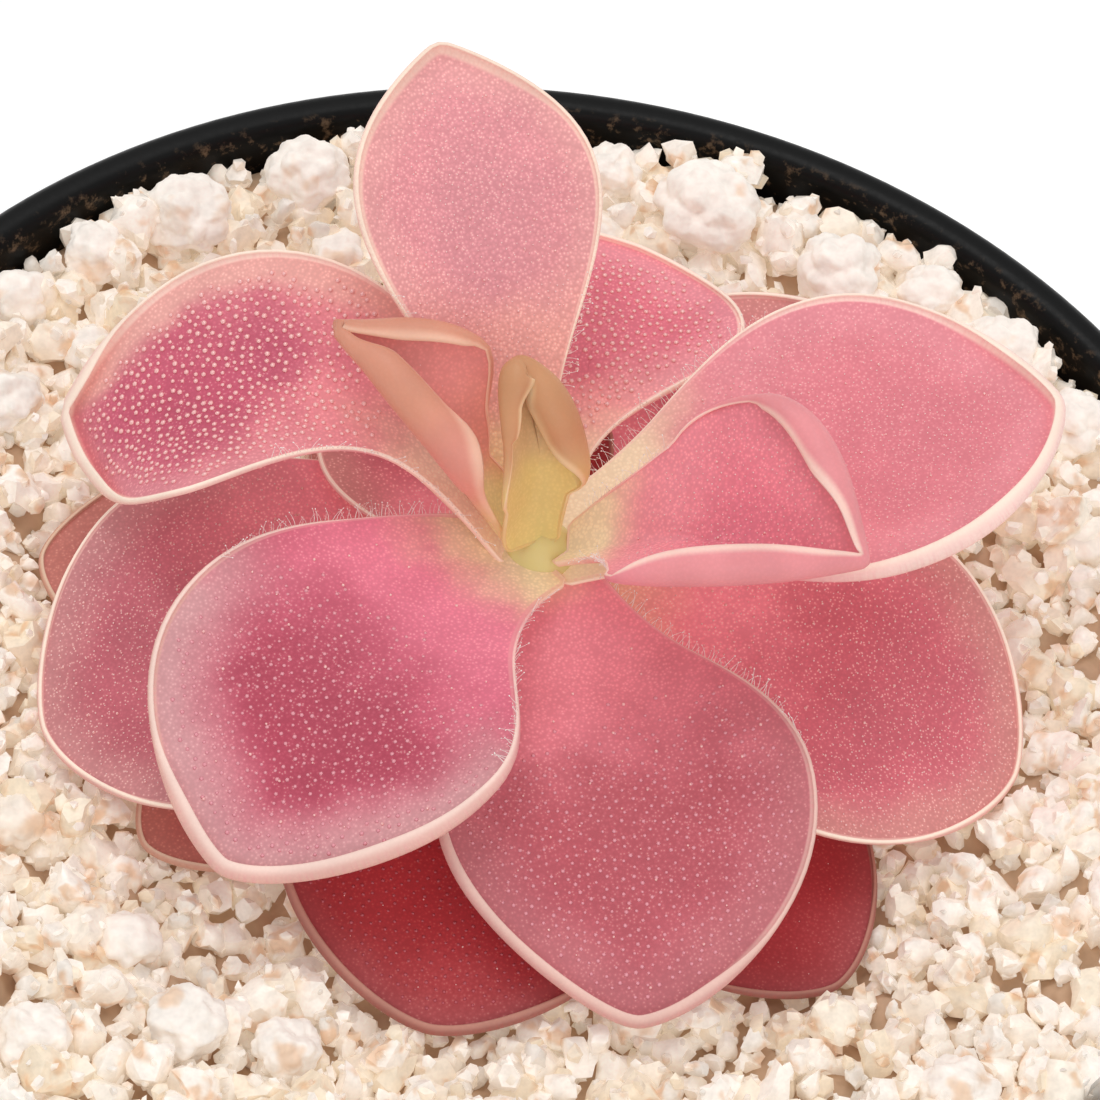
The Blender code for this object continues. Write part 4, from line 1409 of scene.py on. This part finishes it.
@dataclass
class Bed:
    """The gritty mix: a dirt core, loose quartz grains over it and lumps of pumice.

    The core rises from middle_level to wall_level. Grains lie on it above top_from and within
    top_radius, fewer under the rosette, and more of them heap up in clumps and near the wall.
    Breaks are the flat faces of a stone, at a depth from its middle, and a grain that is fitted
    under a leaf is dropped below least_share of its layer's smallest size.
    """

    middle_level: float = 64.8
    wall_level: float = 67.6
    rise_from: float = 18.0
    rise_to: float = 33.0
    top_from: float = 60.0
    finer_from: float = 62.0
    top_radius: float = 37.0
    lump_flatness: float = 0.82
    large_lump: float = 1.8
    lump_breaks: int = 5
    lump_depths: tuple[float, float] = (0.72, 0.92)
    lump_stands: float = 0.75
    break_flatness: float = 0.95
    grain_clearance: float = 0.12
    grain_breaks: int = 7
    grain_depths: tuple[float, float] = (0.5, 0.85)
    grain_flatness: float = 0.9
    least_share: float = 0.5
    kinds: int = 14
    rosette_shade: float = 13.0
    shade_share: float = 0.3
    wall_heap: float = 0.25
    wall_zone: tuple[float, float] = (30.0, 36.0)
    heaps_per_mm: float = 0.24
    heap_edge: tuple[float, float] = (-0.1, 0.25)

    def level(self, radius: float) -> float:
        """Height of the mound at a distance from the pot's axis."""
        rise = float(smooth_step(self.rise_from, self.rise_to, np.array(radius)))
        return self.middle_level + (self.wall_level - self.middle_level) * rise

    def build(self) -> None:
        """Make the core, the lumps and every layer of grains."""
        minerals = {mineral: mineral.value.material() for mineral in Mineral}
        core = self.core(minerals[Mineral.DIRT])
        settle(core, "grit_cream", "gritty_mix")
        for number, lump in enumerate(LUMPS, 1):
            settle(self.lump(number, lump, minerals[Mineral.PUMICE]), "pumice_white",
                   f"pumice_{number:02d}")
        solids = self.keep_out()
        grains = self.grain_kinds("grain_kinds", 2)
        crumbs = self.grain_kinds("crumb_kinds", 1)
        quartz = minerals[Mineral.QUARTZ]
        laid = []
        for layer in LAYERS:
            strewn = self.grains(layer, core.data.copy(), solids, grains, quartz)
            laid.append(settle(strewn, "grit_cream").data)
        settle(self.grains(CRUMBS, self.crust(laid), solids, crumbs, quartz), "grit_cream")
        bpy.data.objects.remove(solids)
        drop_collection(grains)
        drop_collection(crumbs)

    def core(self, dirt: bpy.types.Material) -> bpy.types.Object:
        """Refine a copy of the CAD mix, and mark its top for the grains.

        Args:
            dirt: The core's material.

        Returns:
            The core.
        """
        work = bmesh.new()
        work.from_mesh(frame["nodes"]["gritty_mix"].data)
        bmesh.ops.remove_doubles(work, verts=work.verts, dist=0.00001)
        low = self.finer_from * MM
        top = [edge for edge in work.edges if min(v.co.z for v in edge.verts) > low]
        bmesh.ops.subdivide_edges(work, edges=top, cuts=1, smooth=0.4, use_grid_fill=True)
        bmesh.ops.triangulate(work, faces=work.faces)
        mesh = smooth_mesh("bed_core", work, 70)
        mesh.materials.clear()
        mesh.materials.append(dirt)
        marks: dict[str, list[float]] = {"bed": [], "clump": [], "tint": []}
        for vertex in mesh.vertices:
            x, y, z = vertex.co / MM
            radius = math.hypot(x, y)
            flat = vertex.normal.z > 0.2 and z > self.top_from and radius < self.top_radius
            far = math.hypot(x - Leaf.CROWN[0], y - Leaf.CROWN[1])
            share = float(flat) * (self.shade_share if far < self.rosette_shade else 1.0)
            swell = noise.fractal(Vector((x, y, 0.0)) * self.heaps_per_mm, 1.0, 2.0, 2)
            swell += self.wall_heap * float(smooth_step(*self.wall_zone, np.array(radius)))
            marks["bed"].append(share)
            marks["clump"].append(share * float(smooth_step(*self.heap_edge, np.array(swell))))
            marks["tint"].append(0.5)
        for name, values in marks.items():
            mark(mesh, name, values)
        return add_object("bed_core", mesh)

    def crust(self, laid: list[bpy.types.Mesh]) -> bpy.types.Mesh:
        """Join copies of the layers of grains, and mark where crumbs stick to them.

        Args:
            laid: The layers' meshes.

        Returns:
            A guide for the crumbs' tree.
        """
        guide = joined("crust", laid)
        normals = np.zeros(len(guide.vertices) * 3, np.float32)
        guide.vertex_normals.foreach_get("vector", normals)
        mark(guide, "bed", smooth_step(0.0, 0.5, normals[2::3]))
        return guide

    def keep_out(self) -> bpy.types.Object:
        """Join copies of the leaves' and the crown's CAD solids, which grains keep clear of.

        Returns:
            An object for the grains' tree, removed when they are made.
        """
        return add_object("keep_out", joined("keep_out", [
            item.data for name, item in frame["nodes"].items()
            if name.startswith(("leaf", "crown"))]))

    def grain_kinds(self, name: str, fineness: int) -> bpy.types.Collection:
        """Break a few grains out of balls: flat breaks, worn edges and uneven, lobed sides.

        Args:
            name: The collection's name.
            fineness: The ball's subdivisions.

        Returns:
            A collection of grains of radius 1, for the grains' tree.
        """
        group = bpy.data.collections.new(name)
        draw = random.Random(21)
        for kind in range(self.kinds):
            work = bmesh.new()
            bmesh.ops.create_icosphere(work, subdivisions=fineness, radius=1.0)
            squash = Vector((1.0, draw.uniform(0.65, 1.0), draw.uniform(0.55, 0.9)))
            breaks = draw_breaks(draw, self.grain_breaks, self.grain_depths)
            for vertex in work.verts:
                spot = broken(vertex.co, breaks, self.grain_flatness)
                swell = noise.noise(spot * 2.1 + Vector((kind, 0.0, 0.0)) * 5.0)
                vertex.co = spot * squash * (1.1 + 0.5 * swell)
            item = bpy.data.objects.new(f"{name}_{kind}", smooth_mesh(name, work, 38.0))
            group.objects.link(item)
        return group

    def grains(self, layer: Layer, guide: bpy.types.Mesh, solids: bpy.types.Object,
               kinds: bpy.types.Collection, quartz: bpy.types.Material) -> bpy.types.Object:
        """Strew one layer of loose grains over the bed, smaller where a leaf is close.

        Args:
            layer: The layer.
            guide: The mesh that they lie on.
            solids: What the grains keep clear of.
            kinds: The grains to draw from.
            quartz: The grains' material.

        Returns:
            The layer as one piece.
        """
        growth = Growth(layer.name, {
            "Spacing": layer.pitch * MM, "Smallest": layer.small * MM,
            "Largest": layer.large * MM, "Lift": layer.lift * MM, "Seed": layer.seed,
            "Solids": solids, "Kinds": kinds, "Clearance": self.grain_clearance * MM,
            "Material": quartz,
        })
        add, inputs = growth.add, growth.inputs
        spots, size = growth.scatter(layer.cover, layer.pitch * MM)
        rise = add("ShaderNodeCombineXYZ", {"Z": inputs["Lift"]})
        raised = add("GeometryNodeSetPosition", {"Geometry": spots, "Offset": rise})
        solid = add("GeometryNodeObjectInfo", {"Object": inputs["Solids"]},
                    transform_space="RELATIVE")
        near = add("GeometryNodeProximity", {"Geometry": solid.outputs["Geometry"]},
                   target_element="FACES").outputs["Distance"]
        room = add("ShaderNodeMath", {0: near, 1: inputs["Clearance"]}, operation="SUBTRACT")
        fitted = add("ShaderNodeMath", {0: size, 1: room}, operation="MINIMUM")
        sized = add("GeometryNodeStoreNamedAttribute",
                    {"Geometry": raised, "Name": "size", "Value": fitted}, data_type="FLOAT",
                    domain="POINT")
        own = add("GeometryNodeInputNamedAttribute", {"Name": "size"}, data_type="FLOAT")
        tight = add("FunctionNodeCompare", {"A": own, "B": layer.small * MM * self.least_share},
                    data_type="FLOAT", operation="LESS_THAN")
        kept = add("GeometryNodeDeleteGeometry", {"Geometry": sized, "Selection": tight},
                   domain="POINT")
        shapes = add("GeometryNodeCollectionInfo",
                     {"Collection": inputs["Kinds"], "Separate Children": True})
        turn = add("FunctionNodeRandomValue", {"Max": (math.tau,) * 3,
                                               "Seed": inputs["Seed"]},
                   data_type="FLOAT_VECTOR")
        which = add("FunctionNodeRandomValue", {"Min": 0, "Max": self.kinds - 1,
                                                "Seed": inputs["Seed"]}, data_type="INT")
        placed = add("GeometryNodeInstanceOnPoints",
                     {"Points": kept, "Instance": shapes, "Pick Instance": True,
                      "Instance Index": which, "Rotation": turn, "Scale": own})
        tint = add("FunctionNodeRandomValue", {"Seed": inputs["Seed"]}, data_type="FLOAT")
        tinted = add("GeometryNodeStoreNamedAttribute",
                     {"Geometry": placed, "Name": "tint", "Value": tint}, data_type="FLOAT",
                     domain="INSTANCE")
        growth.close(tinted)
        return growth.grow(guide)

    def lump(self, number: int, lump: Lump, pumice: bpy.types.Material) -> bpy.types.Object:
        """Shape one lump of pumice: flat breaks, a rough skin and pores.

        Args:
            number: The lump's number, which seeds its breaks.
            lump: Its place and radius.
            pumice: Its material.

        Returns:
            The lump.
        """
        draw = random.Random(100 + number)
        work = bmesh.new()
        fine = 5 if lump.radius > self.large_lump else 4
        bmesh.ops.create_icosphere(work, subdivisions=fine, radius=1.0)
        breaks = draw_breaks(draw, self.lump_breaks, self.lump_depths)
        own = Vector((number * 3.7, number * 1.9, 0.0))
        for vertex in work.verts:
            spot = broken(vertex.co, breaks, self.break_flatness) * 1.5 + own
            cobble = 1.0 - noise.voronoi(spot)[0][0] ** 2
            swell = noise.fractal(spot * 2.3, 1.0, 2.2, 3)
            vertex.co *= 0.7 + 0.3 * cobble + 0.07 * swell
            vertex.co.z *= self.lump_flatness
        turn = Matrix.Rotation(math.tau * number * 0.382, 4, "Z")
        height = self.level(math.hypot(lump.x, lump.y)) + self.lump_stands * lump.radius
        place = Matrix.Translation(Vector((lump.x, lump.y, height)) * MM)
        largest = max(vertex.co.length for vertex in work.verts)
        size = Matrix.Scale(lump.radius * MM / largest, 4)
        bmesh.ops.transform(work, matrix=place @ turn @ size, verts=work.verts)
        mesh = smooth_mesh(f"pumice_lump_{number:02d}", work)
        mark(mesh, "tint", [draw.random()] * len(mesh.vertices))
        mesh.materials.append(pumice)
        return add_object(f"pumice_lump_{number:02d}", mesh)


@dataclass(frozen=True)
class PotFinish:
    """Injection-moulded polypropylene: black, satin, with a fine moulded grain and some dust.

    Dust lies where the radius is within its two limits and the height above its own.
    """

    name: str = "moulded_polypropylene"
    colour: str = "070707"
    dust: str = "6B5744"
    roughness: float = 0.36
    grain: float = 0.35
    grain_depth: float = 0.03
    speck: float = 0.9
    speck_edge: tuple[float, float] = (0.55, 0.68)
    dusty_within: tuple[float, float] = (38.6, 37.9)
    dusty_above: tuple[float, float] = (62.8, 63.0)

    def material(self) -> bpy.types.Material:
        """Make the material, with dust on the band's inner side only.

        Returns:
            The material.
        """
        made, add, shade = start_material(self.name)
        place = add("ShaderNodeTexCoord").outputs["Object"]
        cloud = add("ShaderNodeTexNoise", {"Vector": place, "Scale": 1 / (self.grain * MM),
                                           "Detail": 3.0}).outputs["Fac"]
        speck = add("ShaderNodeTexNoise", {"Vector": place, "Scale": 1 / (self.speck * MM),
                                           "Detail": 4.0, "Roughness": 0.7})
        flat = add("ShaderNodeVectorMath", {0: place, 1: (1.0, 1.0, 0.0)}, operation="MULTIPLY")
        radius = add("ShaderNodeVectorMath", {0: flat}, operation="LENGTH")
        height = add("ShaderNodeSeparateXYZ", {"Vector": place}).outputs["Z"]
        share = 1.0
        for value, (low, high), unit in ((radius, self.dusty_within, MM),
                                         (speck, self.speck_edge, 1.0),
                                         (height, self.dusty_above, MM)):
            within = add("ShaderNodeMapRange", {"Value": value, "From Min": low * unit,
                                                "From Max": high * unit})
            share = add("ShaderNodeMath", {0: share, 1: within}, operation="MULTIPLY")
        colour = add("ShaderNodeMix", {"Factor": share, "A": linear(self.colour),
                                       "B": linear(self.dust)}, data_type="RGBA")
        rough = add("ShaderNodeMapRange", {"Value": cloud, "From Min": 0.3, "From Max": 0.7,
                                           "To Min": self.roughness - 0.06,
                                           "To Max": self.roughness + 0.08})
        bump = add("ShaderNodeBump", {"Height": cloud, "Strength": 0.2,
                                      "Distance": self.grain_depth * MM})
        shade({"Base Color": colour, "Roughness": rough, "Normal": bump, "IOR": 1.25})
        return made


@dataclass
class Pot:
    """The round nursery pot, turned finer than its CAD node.

    The wall runs from the foot up to the rim's band, and the floor is raised over the foot ring.
    A notch has a width and a height.
    """

    height: float = 70.0
    rim_radius: float = 40.0
    band: float = 7.2
    rim_thickness: float = 2.1
    top_radius: float = 37.6
    foot_radius: float = 29.3
    wall: float = 1.2
    floor_under: float = 2.4
    floor_thickness: float = 1.4
    rounding: float = 0.85
    holes: int = 6
    hole_radius: float = 2.2
    hole_circle: float = 19.0
    notches: int = 4
    notch: tuple[float, float] = (6.0, 1.5)
    segments: int = 192

    def inner(self, height: float) -> float:
        """Inner radius of the wall.

        Args:
            height: How high up.

        Returns:
            The radius.
        """
        foot = self.foot_radius - self.wall
        top = self.top_radius - self.wall
        return foot + (top - foot) * height / (self.height - self.band)

    def arc(self, middle: tuple[float, float], radius: float, start: float, end: float,
            steps: int = 6) -> list[tuple[float, float]]:
        """Points of a round edge of the profile.

        Args:
            middle: The arc's middle.
            radius: Its radius.
            start: Where it starts, in degrees.
            end: Where it ends.
            steps: The number of points.

        Returns:
            The points.
        """
        angles = np.radians(np.linspace(start, end, steps))
        return [(middle[0] + radius * math.cos(a), middle[1] + radius * math.sin(a))
                for a in angles]

    def profile(self) -> list[tuple[float, float]]:
        """The half section from the axis under the floor, round the rim, to the axis above it.

        Returns:
            Points of (radius, height).
        """
        step = self.height - self.band
        top = self.floor_under + self.floor_thickness
        band_inner = self.rim_radius - self.rim_thickness
        foot_inner = self.foot_radius - self.wall
        edge = self.rounding
        return [
            (0.0, self.floor_under), (foot_inner - 0.6, self.floor_under),
            (foot_inner - 0.1, self.floor_under - 0.6), (foot_inner + 0.1, 0.0),
            (self.foot_radius - 0.3, 0.0), (self.foot_radius, 0.3),
            (self.top_radius, step - 0.5), (self.top_radius + 0.12, step - 0.15),
            (self.top_radius + 0.5, step),
            *self.arc((self.rim_radius - 0.6, step + 0.4), 0.4, -90, 0, 4),
            *self.arc((self.rim_radius - edge, self.height - edge), edge, 0, 90),
            *self.arc((band_inner + edge, self.height - edge), edge, 90, 180),
            (band_inner - 0.1, step + 1.0), (self.inner(step - 0.4), step - 0.4),
            (self.inner(top + 0.6), top + 0.6), (self.inner(top) - 0.6, top), (0.0, top),
        ]

    def build(self) -> bpy.types.Object:
        """Turn the pot and cut its drain holes and foot notches.

        Returns:
            The pot.
        """
        shell = add_object("pot_shell", turned("pot_shell", self.profile(), self.segments))
        cuts = bpy.data.collections.new("pot_cuts")
        middle = self.floor_under + self.floor_thickness / 2
        for step in range(self.holes):
            work = bmesh.new()
            bmesh.ops.create_cone(work, cap_ends=True, segments=32, depth=8.0 * MM,
                                  radius1=self.hole_radius * MM, radius2=self.hole_radius * MM)
            self._cut(cuts, work, self.hole_circle, math.tau * (step + 0.5) / self.holes, middle)
        for step in range(self.notches):
            work = bmesh.new()
            bmesh.ops.create_cube(work, size=1.0)
            wide, high = self.notch
            bmesh.ops.scale(work, vec=Vector((wide, wide, 2 * high)) * MM, verts=work.verts)
            self._cut(cuts, work, self.foot_radius - self.wall / 2,
                      math.tau * (step + 0.5) / self.notches, 0.0)
        modifier = shell.modifiers.new("cuts", "BOOLEAN")
        modifier.operand_type = "COLLECTION"
        modifier.collection = cuts
        modifier.operation = "DIFFERENCE"
        graph = bpy.context.evaluated_depsgraph_get()
        mesh = bpy.data.meshes.new_from_object(shell.evaluated_get(graph))
        mesh.name = "pot_moulded"
        bpy.data.objects.remove(shell)
        drop_collection(cuts)
        mesh.materials.clear()
        mesh.materials.append(PotFinish().material())
        mesh.shade_smooth()
        mesh.set_sharp_from_angle(angle=math.radians(35))
        return settle(add_object("pot_moulded", mesh), "pot_black", "pot")

    def _cut(self, cuts: bpy.types.Collection, work: bmesh.types.BMesh, radius: float,
             angle: float, height: float) -> None:
        """Put a cutter in its place.

        Args:
            cuts: The cutters.
            work: The cutter's shape round the origin, which is freed.
            radius: Its distance from the pot's axis.
            angle: The way it lies, in radians.
            height: How high up.
        """
        turn = Matrix.Rotation(angle, 4, "Z")
        place = Matrix.Translation(Vector((radius * MM, 0.0, height * MM)))
        bmesh.ops.transform(work, matrix=turn @ place, verts=work.verts)
        cuts.objects.link(bpy.data.objects.new("pot_cut", smooth_mesh("pot_cut", work)))


@dataclass
class Studio:
    """A white sweep, soft lamps and the camera that looks down at the plant.

    The camera is fitted to the pot's rim: it looks at a point in the rim's plane from a distance,
    tilted sideways, and a millimetre there is so many pixels of an image 1100 pixels wide.
    """

    elevation: float = 52.0
    tilt: float = 7.46
    distance: float = 300.0
    aim: tuple[float, float, float] = (0.99, 7.88, 70.0)
    pixels_per_mm: float = 19.51
    image_width: float = 1100.0
    sensor: float = 36.0
    floor_size: float = 3000.0
    room_light: float = 0.7

    def build(self) -> None:
        """Make the floor, the lamps and the camera."""
        self.camera()
        self.floor()
        self.lamp("softbox_above", (-90.0, 140.0, 520.0), 300.0, 0.63)
        self.lamp("softbox_front", (160.0, -420.0, 380.0), 360.0, 0.5)
        world = bpy.data.worlds.new("white_room")
        world.use_nodes = True
        back = world.node_tree.nodes["Background"]
        back.inputs["Color"].default_value = (1.0, 1.0, 1.0, 1.0)
        back.inputs["Strength"].default_value = self.room_light
        bpy.context.scene.world = world
        bpy.context.scene.view_settings.view_transform = "Standard"

    def camera(self) -> None:
        """Place the camera."""
        rise, tilt = math.radians(self.elevation), math.radians(self.tilt)
        back = Vector((0.0, -math.cos(rise), math.sin(rise)))
        level = Vector((1.0, 0.0, 0.0))
        upright = Vector((0.0, math.sin(rise), math.cos(rise)))
        right = level * math.cos(tilt) + upright * math.sin(tilt)
        up = upright * math.cos(tilt) - level * math.sin(tilt)
        data = bpy.data.cameras.new("camera")
        data.sensor_width = self.sensor
        data.lens = self.sensor * self.pixels_per_mm * self.distance / self.image_width
        data.clip_start, data.clip_end = 0.01, 10.0
        item = add_object("camera", data)
        turn = Matrix((right, up, back)).transposed().to_4x4()
        spot = (Vector(self.aim) + back * self.distance) * MM
        item.matrix_world = Matrix.Translation(spot) @ turn
        bpy.context.scene.camera = item

    def floor(self) -> None:
        """Lay the white floor."""
        work = bmesh.new()
        bmesh.ops.create_grid(work, x_segments=1, y_segments=1, size=self.floor_size * MM)
        item = add_object("floor", smooth_mesh("floor", work))
        made, _, shade = start_material("white_paper")
        shade({"Base Color": linear("FAFAFA"), "Roughness": 0.9,
               "Emission Color": linear("FFFFFF"), "Emission Strength": 0.2})
        item.data.materials.append(made)

    def lamp(self, name: str, spot: tuple[float, float, float], size: float,
             power: float) -> None:
        """Hang a square softbox that faces the plant.

        Args:
            name: The lamp's name.
            spot: Its place in millimetres.
            size: Its side in millimetres.
            power: Its power in watts.
        """
        data = bpy.data.lights.new(name, "AREA")
        data.size = size * MM
        data.energy = power
        item = add_object(name, data)
        item.location = Vector(spot) * MM
        way = Vector(self.aim) * MM - item.location
        item.rotation_euler = way.to_track_quat("-Z", "Y").to_euler()


def main() -> None:
    """Build everything in order."""
    logging.basicConfig(level=logging.INFO, format="%(name)s %(message)s")
    Studio().build()
    Pot().build()
    Bed().build()
    Rosette().build()


if __name__ == "__main__":
    main()
